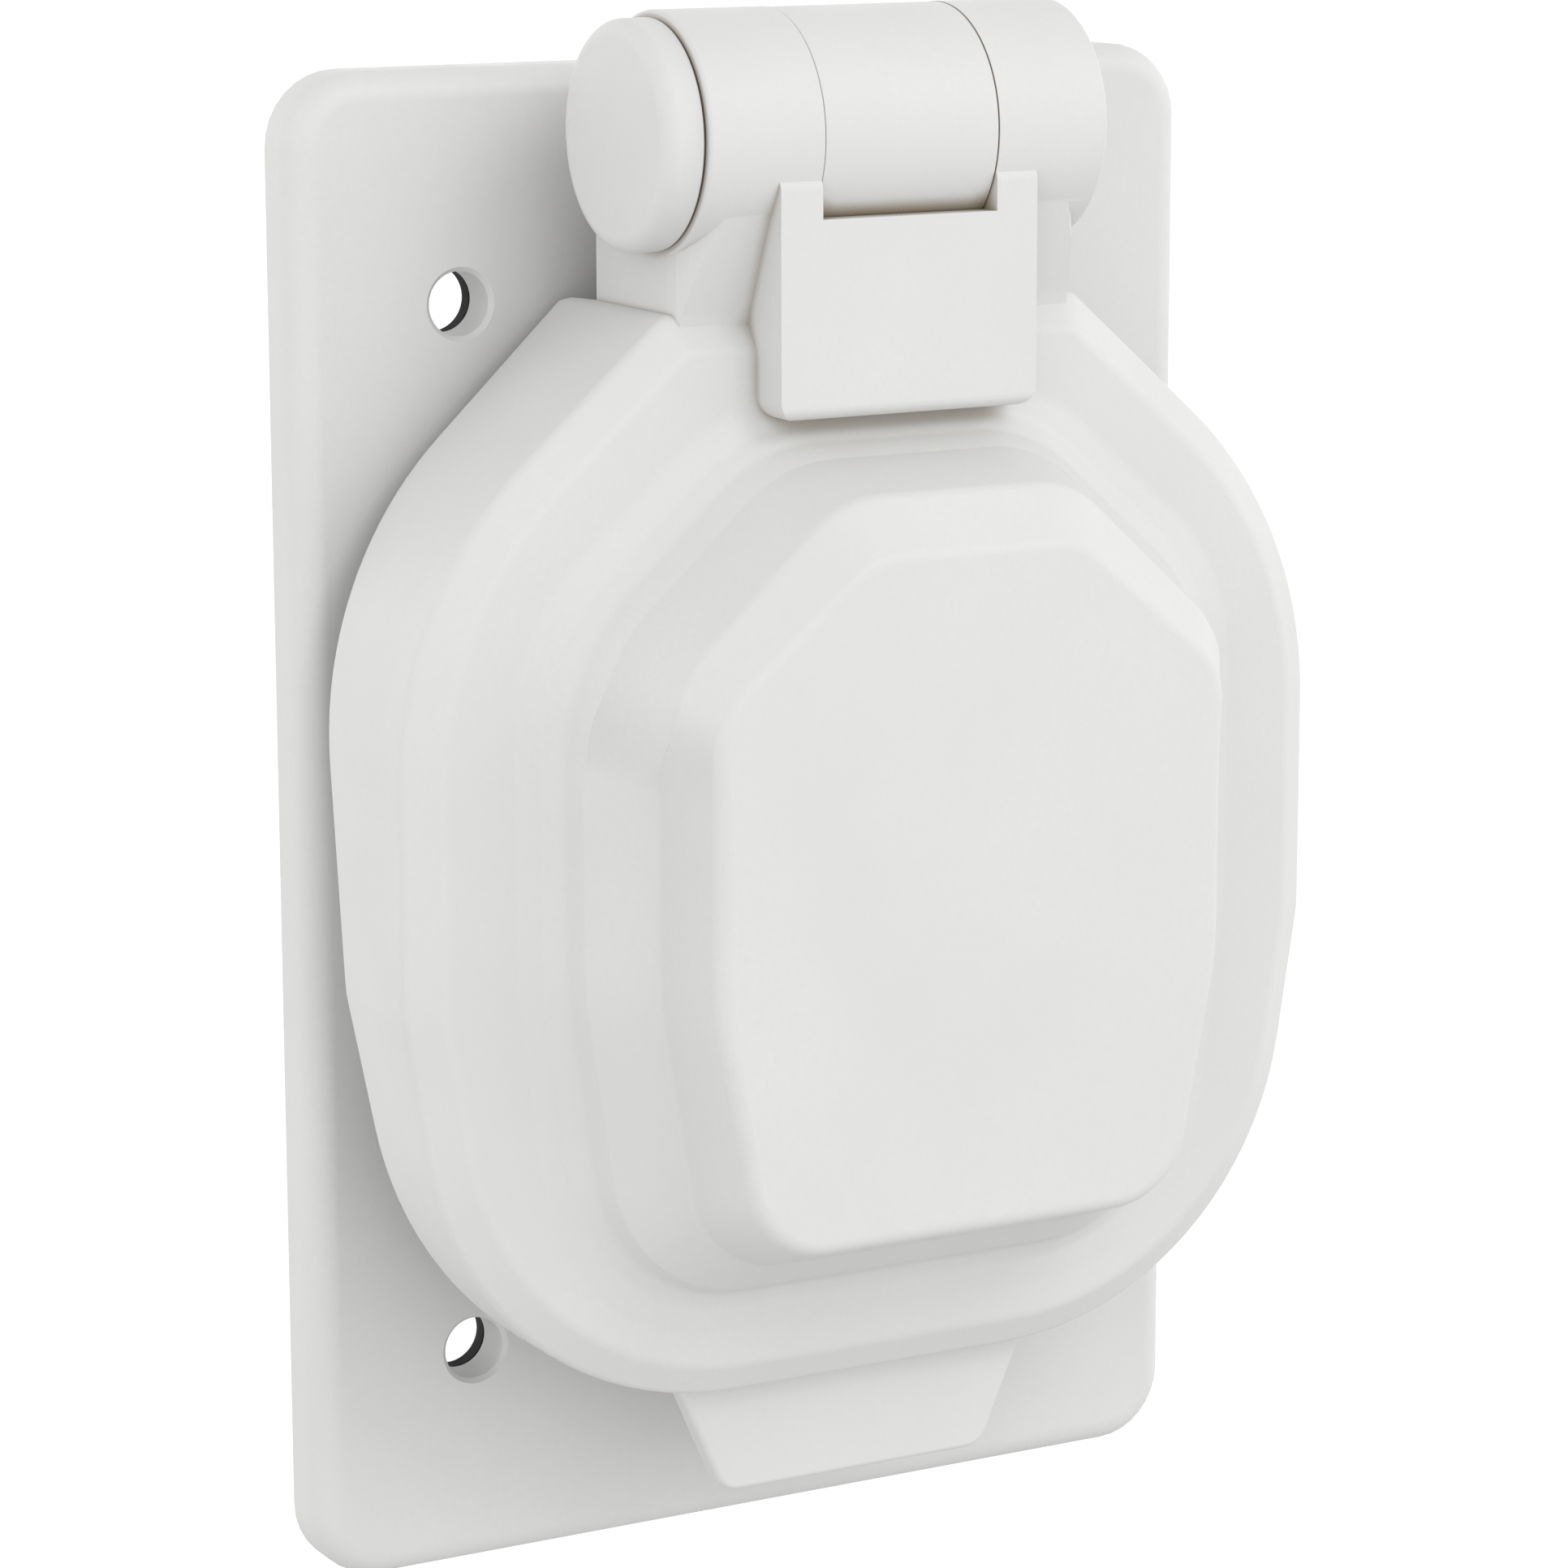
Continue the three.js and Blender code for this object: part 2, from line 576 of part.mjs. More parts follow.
// A flat blade with chamfered tip, and a wider tail with a hole for its terminal screw.
function blade(side) {
  const x = side * BLADE.x;
  const reach = BLADE.thickness / 2;
  const rise = bladeWidth(side) / 2;
  const tip = rounded([
    [-rise + BLADE.tip, BLADE.front],
    [rise - BLADE.tip, BLADE.front],
    [rise, BLADE.front + BLADE.tip],
    [rise, TAIL.front],
    [TAIL.width / 2, TAIL.front],
    [TAIL.width / 2, TAIL.rear],
    [-TAIL.width / 2, TAIL.rear],
    [-TAIL.width / 2, TAIL.front],
    [-rise, TAIL.front],
    [-rise, BLADE.front + BLADE.tip],
  ]);
  const upright = new THREE.Matrix4().makeBasis(
    new THREE.Vector3(0, 0, 1),
    new THREE.Vector3(0, 1, 0),
    new THREE.Vector3(-1, 0, 0),
  );
  const flat = new THREE.ExtrudeGeometry(tip, { depth: BLADE.thickness, bevelEnabled: false });
  const strip = solid(flat.applyMatrix4(upright).translate(x + reach, 0, BLADE.z));
  return cut(strip, rodX(TERMINAL.shaft + GAP, x - 2, x + 2, TERMINAL.y, BLADE.z));
}

function groundPin() {
  const { radius, front, z } = GROUND;
  const profile = [
    [0, front],
    [radius - 1.3, front],
    [radius - 0.4, front + 0.7],
    [radius, front + 2],
    [radius, TAIL.front + PAST],
    [0, TAIL.front + PAST],
  ];
  const points = profile.map(([r, y]) => new THREE.Vector2(r, y));
  const round = solid(new THREE.LatheGeometry(points, COARSE).translate(0, 0, z));
  const half = TAIL.width / 2;
  const reach = TAIL.thickness / 2;
  const tail = box([-half, TAIL.front, z - reach], [half, TAIL.rear, z + reach]);
  return cut(join(round, tail), rodZ(TERMINAL.shaft + GAP, z - 2, z + 2, 0, TERMINAL.y));
}

// A wire clamp as it stands over its tail, drawn along +X from the tail's outer face.
function clampPlate() {
  const start = TAIL.thickness / 2 + TERMINAL.wireGap;
  const plate = box(
    [start, TERMINAL.y - CLAMP.length / 2, -CLAMP.width / 2],
    [start + TERMINAL.plate, TERMINAL.y + CLAMP.length / 2, CLAMP.width / 2],
  );
  return cut(plate, rodX(TERMINAL.shaft + GAP, 0, 9, TERMINAL.y, 0));
}

// A terminal screw in the same place, with a slotted head over the clamp.
function terminalScrew() {
  const seat = TAIL.thickness / 2 + TERMINAL.wireGap + TERMINAL.plate + GAP;
  const end = seat + TERMINAL.headHeight;
  const shaft = rodX(TERMINAL.shaft, -TAIL.thickness / 2 - 0.8, seat + PAST, TERMINAL.y, 0, SMALL);
  const head = rodX(TERMINAL.head, seat, end, TERMINAL.y, 0);
  const slot = box([end - 1.1, TERMINAL.y - 0.5, -5], [end + 1, TERMINAL.y + 0.5, 5]);
  return cut(join(shaft, head), slot);
}

// The same terminal piece turned to stand over the line, neutral or ground tail.
const TERMINAL_TURNS = {
  line: { turn: 0, at: [BLADE.x, 0, BLADE.z] },
  neutral: { turn: Math.PI, at: [-BLADE.x, 0, BLADE.z] },
  ground: { turn: -Math.PI / 2, at: [0, 0, GROUND.z] },
};

function atTerminal(mesh, pole) {
  mesh.rotation.y = TERMINAL_TURNS[pole].turn;
  mesh.position.set(...TERMINAL_TURNS[pole].at);
  return mesh;
}

// A round-headed screw along Y, its head's rear face on y = seat and its tip at y = tip.
function screwY(head, headHeight, shaft, seat, tip) {
  const out = Math.sign(seat - tip);
  const low = Math.min(seat + out * headHeight, seat);
  const headRod = rodY(head, low, low + headHeight, 0, 0);
  const shaftRod = rodY(shaft, Math.min(seat, tip), Math.max(seat, tip), 0, 0, SMALL);
  const face = seat + out * headHeight;
  const depth = 0.9;
  const [start, end] = out > 0 ? [face - depth, face + 1] : [face - 1, face + depth];
  const slots = [
    box([-head * 0.6, start, -0.4], [head * 0.6, end, 0.4]),
    box([-0.4, start, -head * 0.6], [0.4, end, head * 0.6]),
  ];
  return cut(join(headRod, shaftRod), ...slots);
}

function flangeScrew() {
  const { head, headHeight, shaft } = FLANGE_SCREW;
  return screwY(head, headHeight, shaft, FLANGE.front - GAP, -0.8);
}

function bodyScrew() {
  const { head, headHeight, shaft, tip, depth } = BODY_SCREW;
  return screwY(head, headHeight, shaft, REAR_COVER.rear - depth + GAP, tip);
}

// ---- Assembly ----

const inlet = new THREE.Group();

inlet.add(piece("wall_plate", wallPlate(), SHELL_PLASTIC));
inlet.add(piece("wall_gasket", wallGasket(), GASKET_RUBBER));
inlet.add(piece("seal_collar", sealCollar(), SHELL_PLASTIC));

const lid = new THREE.Group();
lid.add(piece("flip_lid", flipLid(), SHELL_PLASTIC));
lid.add(piece("lid_gasket", lidGasket(), GASKET_RUBBER));
lid.add(piece("hinge_end_cap", hingeEndCap(), SHELL_PLASTIC));
inlet.add(lid);

const hinge = new THREE.Group();
hinge.add(piece("hinge_pin", hingePin(), STEEL));
hinge.add(piece("hinge_pin_retainer", hingePinRetainer(), STEEL));
hinge.add(piece("torsion_spring", torsionSpring(), STEEL));
inlet.add(hinge);

const insert = new THREE.Group();
insert.add(piece("inlet_front_body", inletFrontBody(), INLET_NYLON));
insert.add(piece("flange_gasket", flangeGasket(), GASKET_RUBBER));
insert.add(piece("inlet_rear_body", inletRearBody(), TERMINAL_NYLON));
insert.add(piece("inlet_rear_cover", inletRearCover(), TERMINAL_NYLON));
insert.add(piece("line_blade", blade(1), BRASS));
insert.add(piece("neutral_blade", blade(-1), NICKEL));
insert.add(piece("ground_pin", groundPin(), BRASS));
inlet.add(insert);

const screwLooks = { line: BRASS, neutral: NICKEL, ground: GREEN_SCREW };
for (const [pole, look] of Object.entries(screwLooks)) {
  insert.add(atTerminal(piece(pole + "_clamp", clampPlate(), STEEL), pole));
  insert.add(atTerminal(piece(pole + "_terminal_screw", terminalScrew(), look), pole));
}

for (const [side, x] of [["left", -FLANGE_SCREW.x], ["right", FLANGE_SCREW.x]]) {
  const screw = piece("flange_screw_" + side, flangeScrew(), STEEL);
  screw.position.set(x, 0, CENTRE_Z);
  insert.add(screw);
}

for (const [place, [x, z]] of Object.entries(BODY_SCREW_PLACES)) {
  const screw = piece("body_screw_" + place, bodyScrew(), STEEL);
  screw.position.set(x, 0, z);
  insert.add(screw);
}

export default inlet;
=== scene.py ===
"""Visual model of a flanged power inlet with a flip lid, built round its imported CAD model.

Shapes are worked out in millimetres in the row frame (X right, Y into the wall, Z up) and
turned into metres when a mesh is made.
"""

import json
import math

import bmesh
import bpy
import numpy as np
from mathutils import Matrix, Vector

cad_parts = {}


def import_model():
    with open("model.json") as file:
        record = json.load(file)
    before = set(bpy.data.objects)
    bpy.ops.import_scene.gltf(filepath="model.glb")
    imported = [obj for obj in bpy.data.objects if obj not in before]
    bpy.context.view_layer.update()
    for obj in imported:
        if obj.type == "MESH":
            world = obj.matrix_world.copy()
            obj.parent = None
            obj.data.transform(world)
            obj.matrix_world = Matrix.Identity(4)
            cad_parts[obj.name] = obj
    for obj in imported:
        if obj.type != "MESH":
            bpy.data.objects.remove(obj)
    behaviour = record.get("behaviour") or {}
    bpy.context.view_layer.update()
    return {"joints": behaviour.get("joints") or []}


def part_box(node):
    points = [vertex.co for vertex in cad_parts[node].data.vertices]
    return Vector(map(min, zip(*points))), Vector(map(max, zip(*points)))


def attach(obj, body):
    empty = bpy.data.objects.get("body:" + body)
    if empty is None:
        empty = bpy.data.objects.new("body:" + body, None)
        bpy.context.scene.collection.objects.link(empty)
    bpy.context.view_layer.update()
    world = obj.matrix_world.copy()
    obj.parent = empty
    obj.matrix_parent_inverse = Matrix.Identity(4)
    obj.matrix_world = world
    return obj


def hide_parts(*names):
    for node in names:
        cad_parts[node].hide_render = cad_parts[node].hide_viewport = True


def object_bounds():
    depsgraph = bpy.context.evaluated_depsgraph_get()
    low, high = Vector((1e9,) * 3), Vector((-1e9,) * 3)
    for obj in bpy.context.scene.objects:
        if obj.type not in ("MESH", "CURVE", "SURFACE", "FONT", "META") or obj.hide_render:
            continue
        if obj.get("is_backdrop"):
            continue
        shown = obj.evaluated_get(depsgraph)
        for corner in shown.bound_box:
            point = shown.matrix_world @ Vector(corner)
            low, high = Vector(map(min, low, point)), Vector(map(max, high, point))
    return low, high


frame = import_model()

MM = 0.001
JOINTS = {joint["name"]: joint for joint in frame["joints"]}


def box_mm(node):
    """Lowest and highest corner of a CAD node, in millimetres."""
    low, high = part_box(node)
    return np.array(low) / MM, np.array(high) / MM


# ---- Sizes, in millimetres ----

HINGE_Y, HINGE_Z = (value / MM for value in JOINTS["lid_hinge"]["pos_m"][1:])
PLATE_LOW, PLATE_HIGH = box_mm("wall_plate")
PLATE_TOP = -PLATE_LOW[2]  # the plate without its knuckle is as high above the middle as below it
BARREL_HALF = box_mm("flip_lid")[1][0] - 22.0
CENTRE_Z = -0.7  # of the lid, the cap and the inlet

PLATE = {"thickness": 5.0, "corner": 5.6, "edge": 2.2}
MOUNT_HOLE = {"radius": 2.4, "x": 24.8, "z": 40.0}
MOUNT_POINTS = [(side * MOUNT_HOLE["x"], rise * MOUNT_HOLE["z"]) for side in (-1, 1) for rise in (-1, 1)]
FLANGE_SCREW_X = (-25.2, 25.2)
SCREW_CLEARANCE = 2.05
REAR_RECESS = {"inset": 2.6, "depth": 1.5}
COLLAR = {"inner": 31.5, "outer": 34.0, "lip": 28.4, "front": -18.5}
BARREL_RADIUS = 8.83
MIDDLE_HALF = 7.14  # half the middle knuckle's width
BORE = 2.8  # radius round the hinge pin

LID = {"half": 38.39, "bottom": -40.39, "top": 40.4, "side_corner": 30.5, "top_corner": 1.2}
LID_FOOT = {"half": 33.5, "corner": 25.3, "z": -8.7, "bend": 9.0}
DIAGONAL = {"angle": math.radians(48.5), "distance": 41.6}
SKIRT = {"edge": -22.5, "face": -24.3, "bevel": 2.6, "wall": 2.3}
RIM = {"y": -11.2, "slope": 0.125, "relief_half": 16.4, "relief": -10.5}
LUG = {"front": -22.9, "rear": -10.5, "foot": 37.5, "shoulder": 39.45}
STRAP = {"half": 10.6, "front": -28, "rear": -23, "bottom": 32.9, "top": 50.5, "neck": 38.95}
NOTCH = {"half": 7.2, "radius": 8.88, "bottom": 47.2}
TAB = {"front": -20, "rear": -17.8, "bottom": -49.3, "half_top": 15.4, "half_bottom": 11.3}
CAP = {"half": 20.9, "low": 17.3, "top": 24.3, "top_half": 8.4, "shoulder": 13.9, "waist": -7.5,
       "bottom": -25.7, "front": -37.8}


# ---- Meshes ----

def mesh_object(name, verts, faces):
    """A closed mesh from points in millimetres."""
    mesh = bpy.data.meshes.new(name)
    mesh.from_pydata((np.asarray(verts, float) * MM).tolist(), [], faces)
    obj = bpy.data.objects.new(name, mesh)
    bpy.context.scene.collection.objects.link(obj)
    bm = bmesh.new()
    bm.from_mesh(mesh)
    bmesh.ops.remove_doubles(bm, verts=bm.verts, dist=0.5e-6)
    bmesh.ops.recalc_face_normals(bm, faces=bm.faces)
    bm.to_mesh(mesh)
    bm.free()
    return obj


def rounded(corners, steps=8):
    """A closed outline from corners (u, v, radius), each corner an arc of so many steps."""
    points = []
    for i, (u, v, radius) in enumerate(corners):
        corner = np.array([u, v])
        before = np.array(corners[i - 1][:2]) - corner
        after = np.array(corners[(i + 1) % len(corners)][:2]) - corner
        before = before / np.linalg.norm(before)
        after = after / np.linalg.norm(after)
        if radius <= 0:
            points.append(corner)
            continue
        half = math.acos(np.clip(before @ after, -1, 1)) / 2
        middle = before + after
        centre = corner + middle / np.linalg.norm(middle) * radius / math.sin(half)
        start = corner + before * radius / math.tan(half) - centre
        end = corner + after * radius / math.tan(half) - centre
        first = math.atan2(start[1], start[0])
        sweep = (math.atan2(end[1], end[0]) - first + math.pi) % (2 * math.pi) - math.pi
        for step in range(steps + 1):
            angle = first + sweep * step / steps
            points.append(centre + radius * np.array([math.cos(angle), math.sin(angle)]))
    return np.array(points)


def mirrored(right, steps=8):
    """An outline from its right-hand corners, from the bottom up, and their mirror images."""
    return rounded(right + [(-u, v, radius) for u, v, radius in reversed(right)], steps)


def loft(name, rings):
    """A closed skin over rings of equal length, from one capped end to the other."""
    count = len(rings[0])
    faces = []
    for level in range(len(rings) - 1):
        for i in range(count):
            here, there = level * count + i, level * count + (i + 1) % count
            faces.append((here, there, there + count, here + count))
    last = (len(rings) - 1) * count
    faces.append(tuple(reversed(range(count))))
    faces.append(tuple(range(last, last + count)))
    return mesh_object(name, np.concatenate(rings), faces)


def along(axis, outline, level):
    """The 3-D ring of an outline at one level: axis "x" takes (y, z), "y" (x, z) and "z" (x, y)."""
    return np.insert(np.asarray(outline, float), "xyz".index(axis), level, axis=1)


def soften(obj, width, segments=3, limit=50.0):
    """Rounds every edge sharper than the limit."""
    bm = bmesh.new()
    bm.from_mesh(obj.data)
    bmesh.ops.dissolve_limit(bm, angle_limit=math.radians(0.5), verts=bm.verts, edges=bm.edges)
    edges = [e for e in bm.edges if e.calc_face_angle(0) > math.radians(limit)]
    bmesh.ops.bevel(bm, geom=edges, offset=width * MM, segments=segments, profile=0.5,
                    affect="EDGES", clamp_overlap=True)
    bmesh.ops.recalc_face_normals(bm, faces=bm.faces)
    bm.to_mesh(obj.data)
    bm.free()
    return obj


def prism(name, axis, outline, low, high, edge=0.0, segments=3):
    """An outline extruded along an axis, with rounded ends."""
    obj = loft(name, [along(axis, outline, low), along(axis, outline, high)])
    return soften(obj, edge, segments) if edge else obj


def block(name, low, high, edge=0.0):
    """A box between two corners, with rounded edges."""
    (x0, y0, z0), (x1, y1, z1) = low, high
    return prism(name, "z", [(x0, y0), (x1, y0), (x1, y1), (x0, y1)], z0, z1, edge)


def lathe(name, axis, centre, corners, sides=96, steps=5):
    """A closed profile of corners (radius, level, fillet) turned about an axis through centre."""
    profile = rounded(corners, steps)
    main = "xyz".index(axis)
    first, second = [i for i in range(3) if i != main]
    verts, faces, columns = [], [], []
    for radius, level in profile:
        column = []
        for side in range(sides if radius > 1e-6 else 1):
            angle = 2 * math.pi * side / sides
            point = np.array(centre, float)
            point[main] = level
            point[first] += radius * math.cos(angle)
            point[second] += radius * math.sin(angle)
            column.append(len(verts))
            verts.append(point)
        columns.append(column * sides if len(column) == 1 else column)
    for here, there in zip(columns, columns[1:] + columns[:1]):
        for i in range(sides):
            j = (i + 1) % sides
            face = list(dict.fromkeys((here[i], here[j], there[j], there[i])))
            if len(face) > 2:
                faces.append(face)
    return mesh_object(name, verts, faces)


def rod(axis, centre, radius, low, high, edge=0.0, sides=64):
    """A round tool or boss along an axis, with rounded ends."""
    corners = [(0, low, 0), (radius, low, edge), (radius, high, edge), (0, high, 0)]
    return lathe("rod", axis, centre, corners, sides)


def apply_modifiers(obj):
    """Gives the object the mesh that its modifiers make."""
    depsgraph = bpy.context.evaluated_depsgraph_get()
    mesh = bpy.data.meshes.new_from_object(obj.evaluated_get(depsgraph))
    obj.modifiers.clear()
    obj.data = mesh
    return obj


def combine(obj, operation, tools):
    """Changes the object by a Boolean operation with each tool, and removes the tools."""
    for tool in tools:
        modifier = obj.modifiers.new("combine", "BOOLEAN")
        modifier.operation = operation
        modifier.solver = "MANIFOLD"
        modifier.object = tool
    apply_modifiers(obj)
    for tool in tools:
        bpy.data.objects.remove(tool)
    return obj


def join(obj, *tools):
    return combine(obj, "UNION", tools)


def cut(obj, *tools):
    return combine(obj, "DIFFERENCE", tools)


def meet(obj, *tools):
    return combine(obj, "INTERSECT", tools)


# ---- Materials ----

class Graph:
    """The node tree of one new material, with short ways to add to it."""

    def __init__(self, name, **sockets):
        self.material = bpy.data.materials.new(name)
        self.material.use_nodes = True
        self.nodes = self.material.node_tree.nodes
        self.shader = self.nodes["Principled BSDF"]
        for socket, value in sockets.items():
            self.shader.inputs[socket.replace("_", " ")].default_value = value
        self.coordinates = self.nodes.new("ShaderNodeTexCoord").outputs["Object"]

    def link(self, start, end):
        self.material.node_tree.links.new(start, end)

    def stretched(self, scale):
        node = self.nodes.new("ShaderNodeMapping")
        node.inputs["Scale"].default_value = scale
        self.link(self.coordinates, node.inputs["Vector"])
        return node.outputs["Vector"]

    def noise(self, scale, detail=2.0, roughness=0.5, vector=None):
        node = self.nodes.new("ShaderNodeTexNoise")
        node.inputs["Scale"].default_value = scale
        node.inputs["Detail"].default_value = detail
        node.inputs["Roughness"].default_value = roughness
        self.link(vector or self.coordinates, node.inputs["Vector"])
        return node.outputs["Fac"]

    def spots(self, scale):
        node = self.nodes.new("ShaderNodeTexVoronoi")
        node.inputs["Scale"].default_value = scale
        self.link(self.coordinates, node.inputs["Vector"])
        return node.outputs["Distance"]

    def ranged(self, value, low, high, from_low=0.3, from_high=0.7):
        node = self.nodes.new("ShaderNodeMapRange")
        for socket, number in zip(("From Min", "From Max", "To Min", "To Max"),
                                  (from_low, from_high, low, high)):
            node.inputs[socket].default_value = number
        self.link(value, node.inputs["Value"])
        return node.outputs["Result"]

    def mixed(self, factor, first, second, blend="MIX"):
        """A colour mix; each colour is a tuple or another node's output."""
        node = self.nodes.new("ShaderNodeMix")
        node.data_type = "RGBA"
        node.blend_type = blend
        values = {0: factor, 6: first, 7: second}
        for index, value in values.items():
            socket = node.inputs[index]
            if isinstance(value, bpy.types.NodeSocket):
                self.link(value, socket)
            else:
                socket.default_value = value if isinstance(value, float) else (*value, 1)
        return node.outputs[2]

    def crevices(self, distance):
        """An ambient-occlusion mask: 0 in the open and 1 deep in a crevice, where shade falls."""
        node = self.nodes.new("ShaderNodeAmbientOcclusion")
        node.samples = 8
        node.inputs["Distance"].default_value = distance
        return self.ranged(node.outputs["AO"], 1, 0, 0.1, 0.75)

    def bump(self, height, strength, distance, normal=None):
        node = self.nodes.new("ShaderNodeBump")
        node.inputs["Strength"].default_value = strength
        node.inputs["Distance"].default_value = distance
        self.link(height, node.inputs["Height"])
        if normal:
            self.link(normal, node.inputs["Normal"])
        return node.outputs["Normal"]

    def finish(self, color, roughness, normal):
        self.link(color, self.shader.inputs["Base Color"])
        self.link(roughness, self.shader.inputs["Roughness"])
        self.link(normal, self.shader.inputs["Normal"])
        return self.material


def scaled(color, factor):
    """A lighter or darker version of a colour."""
    return tuple(channel * factor for channel in color)


def plastic(name, color, rough=(0.42, 0.56), grain=0.16, crevice_shade=(0.42, 0.36, 0.27)):
    """Moulded plastic: faint flow clouds, fine spark-eroded grain, and painted shade that darkens its
    crevices by ambient occlusion.
    """
    graph = Graph(name, Specular_IOR_Level=0.45)
    clouds = graph.ranged(graph.noise(55, 3), 0, 1)
    specks = graph.ranged(graph.noise(2100, 2, 0.6), 0, 1)
    tone = graph.mixed(clouds, scaled(color, 0.975), scaled(color, 1.02))
    tone = graph.mixed(graph.ranged(specks, 0, 0.5, 0, 1), tone, scaled(color, 0.965))
    # Painted shade: ambient occlusion darkens the colour deep in crevices towards the given dark crevice
    # colour.
    tone = graph.mixed(graph.crevices(1.6 * MM), tone, crevice_shade)
    roughness = graph.ranged(graph.noise(160, 4), *rough)
    fine = graph.bump(graph.noise(2600, 2, 0.65), grain, 0.05 * MM)
    broad = graph.bump(graph.noise(240, 2), 0.05, 0.2 * MM, fine)
    return graph.finish(tone, roughness, broad)


def metal(name, color, tarnish, rough=(0.24, 0.42), drag=(1, 18, 1), metallic=1.0):
    """Stamped or turned metal: drawn streaks, tarnished patches, small scratches."""
    graph = Graph(name, Metallic=metallic)
    streaks = graph.noise(260, 4, 0.6, graph.stretched(drag))
    patches = graph.ranged(graph.noise(150, 4), 0, 0.6, 0.45, 0.7)
    tone = graph.mixed(patches, color, tarnish)
    tone = graph.mixed(graph.ranged(streaks, 0, 0.35), tone, scaled(color, 0.8))
    tone = graph.mixed(graph.crevices(1.0 * MM), tone, scaled(tarnish, 0.35))
    roughness = graph.ranged(streaks, *rough)
    return graph.finish(tone, roughness, graph.bump(streaks, 0.12, 0.05 * MM))


def rubber(name, color):
    """Closed-cell rubber: small pits and a dusty bloom."""
    graph = Graph(name, Specular_IOR_Level=0.3)
    bloom = graph.ranged(graph.noise(90, 5, 0.6), 0, 0.4, 0.45, 0.75)
    pits = graph.spots(1500)
    tone = graph.mixed(bloom, color, scaled(color, 2.4))
    tone = graph.mixed(graph.ranged(pits, 0.5, 0, 0, 0.3), tone, scaled(color, 0.4))
    roughness = graph.ranged(graph.noise(400, 3), 0.72, 0.95)
    return graph.finish(tone, roughness, graph.bump(pits, 0.35, 0.06 * MM))


# Each of the record's material slots, and the material that stands for it.
FINISHES = {
    # The plastics' crevice colours are painted shade, which their crevices darken to by ambient
    # occlusion.
    "shell_plastic": plastic("shell_plastic", (0.634, 0.632, 0.622), crevice_shade=(0.3, 0.24, 0.16)),
    "inlet_nylon": plastic("inlet_nylon", (0.66, 0.65, 0.62), rough=(0.32, 0.46), grain=0.1),
    "terminal_nylon": plastic("terminal_nylon", (0.03, 0.031, 0.033), grain=0.25,
                              crevice_shade=(0.008, 0.008, 0.009)),
    "gasket_rubber": rubber("gasket_rubber", (0.022, 0.022, 0.023)),
    "brass": metal("brass", (0.83, 0.6, 0.27), (0.42, 0.25, 0.1)),
    "nickel": metal("nickel", (0.72, 0.7, 0.66), (0.4, 0.37, 0.32)),
    "steel": metal("zinc_steel", (0.6, 0.61, 0.63), (0.36, 0.35, 0.34), rough=(0.3, 0.5)),
    "green_screw": metal("green_steel", (0.07, 0.32, 0.13), (0.03, 0.13, 0.06), metallic=0.75),
}


SHARP = math.radians(32)  # edges sharper than this are not shaded smooth


def place(obj, name, body, node, slot):
    """Names a finished piece, shades it, gives it its slot's material, puts it under its body and hides
    the CAD node it stands for.
    """
    obj.name = obj.data.name = name
    bm = bmesh.new()
    bm.from_mesh(obj.data)
    bmesh.ops.remove_doubles(bm, verts=bm.verts, dist=0.5e-6)
    bmesh.ops.dissolve_degenerate(bm, dist=0.5e-6, edges=bm.edges)
    for face in bm.faces:
        face.smooth = True
    for edge in bm.edges:
        edge.smooth = edge.calc_face_angle(0) < SHARP
    bm.to_mesh(obj.data)
    bm.free()
    modifier = obj.modifiers.new("weighted_normals", "WEIGHTED_NORMAL")
    modifier.keep_sharp = True
    obj.data.materials.clear()
    obj.data.materials.append(FINISHES[slot])
    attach(obj, body)
    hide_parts(node)


# ---- Outlines ----

def plate_outline(inset, steps=8):
    """The plate's rounded rectangle."""
    half = PLATE_HIGH[0] - inset
    rise = PLATE_TOP - inset
    corner = PLATE["corner"] - inset
    return mirrored([(half, -rise, corner), (half, rise, corner)], steps)


COLUMNS = 480
ANGLES = np.linspace(-math.pi / 2, 1.5 * math.pi, COLUMNS, endpoint=False)


def reach(outline):
    """An outline's distance from the lid's centre, at each of the columns' angles."""
    closed = np.vstack([outline, outline[:1]]) - [0, CENTRE_Z]
    shares = np.linspace(0, 1, 60, endpoint=False)[:, None]
    sides = zip(closed[:-1], closed[1:])
    dense = np.concatenate([start + (end - start) * shares for start, end in sides])
    angles = np.arctan2(dense[:, 1], dense[:, 0])
    order = np.argsort(angles)
    distances = np.hypot(*dense[order].T)
    return np.interp(ANGLES, angles[order], distances, period=2 * math.pi)


def lid_reach(inset):
    """The lid: round below, with slanting sides and straight shoulders that run up to the lug."""
    half, top = LID["half"] - inset, LID["top"] - inset
    distance = DIAGONAL["distance"] - inset
    slope_x, slope_z = math.cos(DIAGONAL["angle"]), math.sin(DIAGONAL["angle"])
    return reach(mirrored([
        (LID_FOOT["half"] - inset, LID["bottom"] + inset, LID_FOOT["corner"] - inset),
        (half, LID_FOOT["z"], LID_FOOT["bend"]),
        (half, (distance - slope_x * half) / slope_z, LID["side_corner"] - inset),
        ((distance - slope_z * top) / slope_x, top, LID["top_corner"]),
    ], 20))


def cap_outline(side, top, bottom, soft=0.0, steps=20):
    """The stepped cap in the lid's middle, grown at its sides, top and bottom."""
    return mirrored([
        (CAP["low"] + side, CAP["bottom"] - bottom, 6 + side / 2 + soft),
        (CAP["half"] + side, CAP["waist"], 30.0),
        (CAP["half"] + side, CAP["shoulder"] + top / 2, 7 + side / 2 + soft),
        (CAP["top_half"] + side / 2, CAP["top"] + top, 6 + side / 2 + soft),
    ], steps)


def cap_reach(*growth):
    """The grown cap's reach."""
    return reach(cap_outline(*growth))


def station(reach_at, level, fillet=0.0):
    """One corner of the lid's radial profile: its reach, its y and its fillet, for every column."""
    full = np.ones(COLUMNS)
    return reach_at * full, level * full, fillet


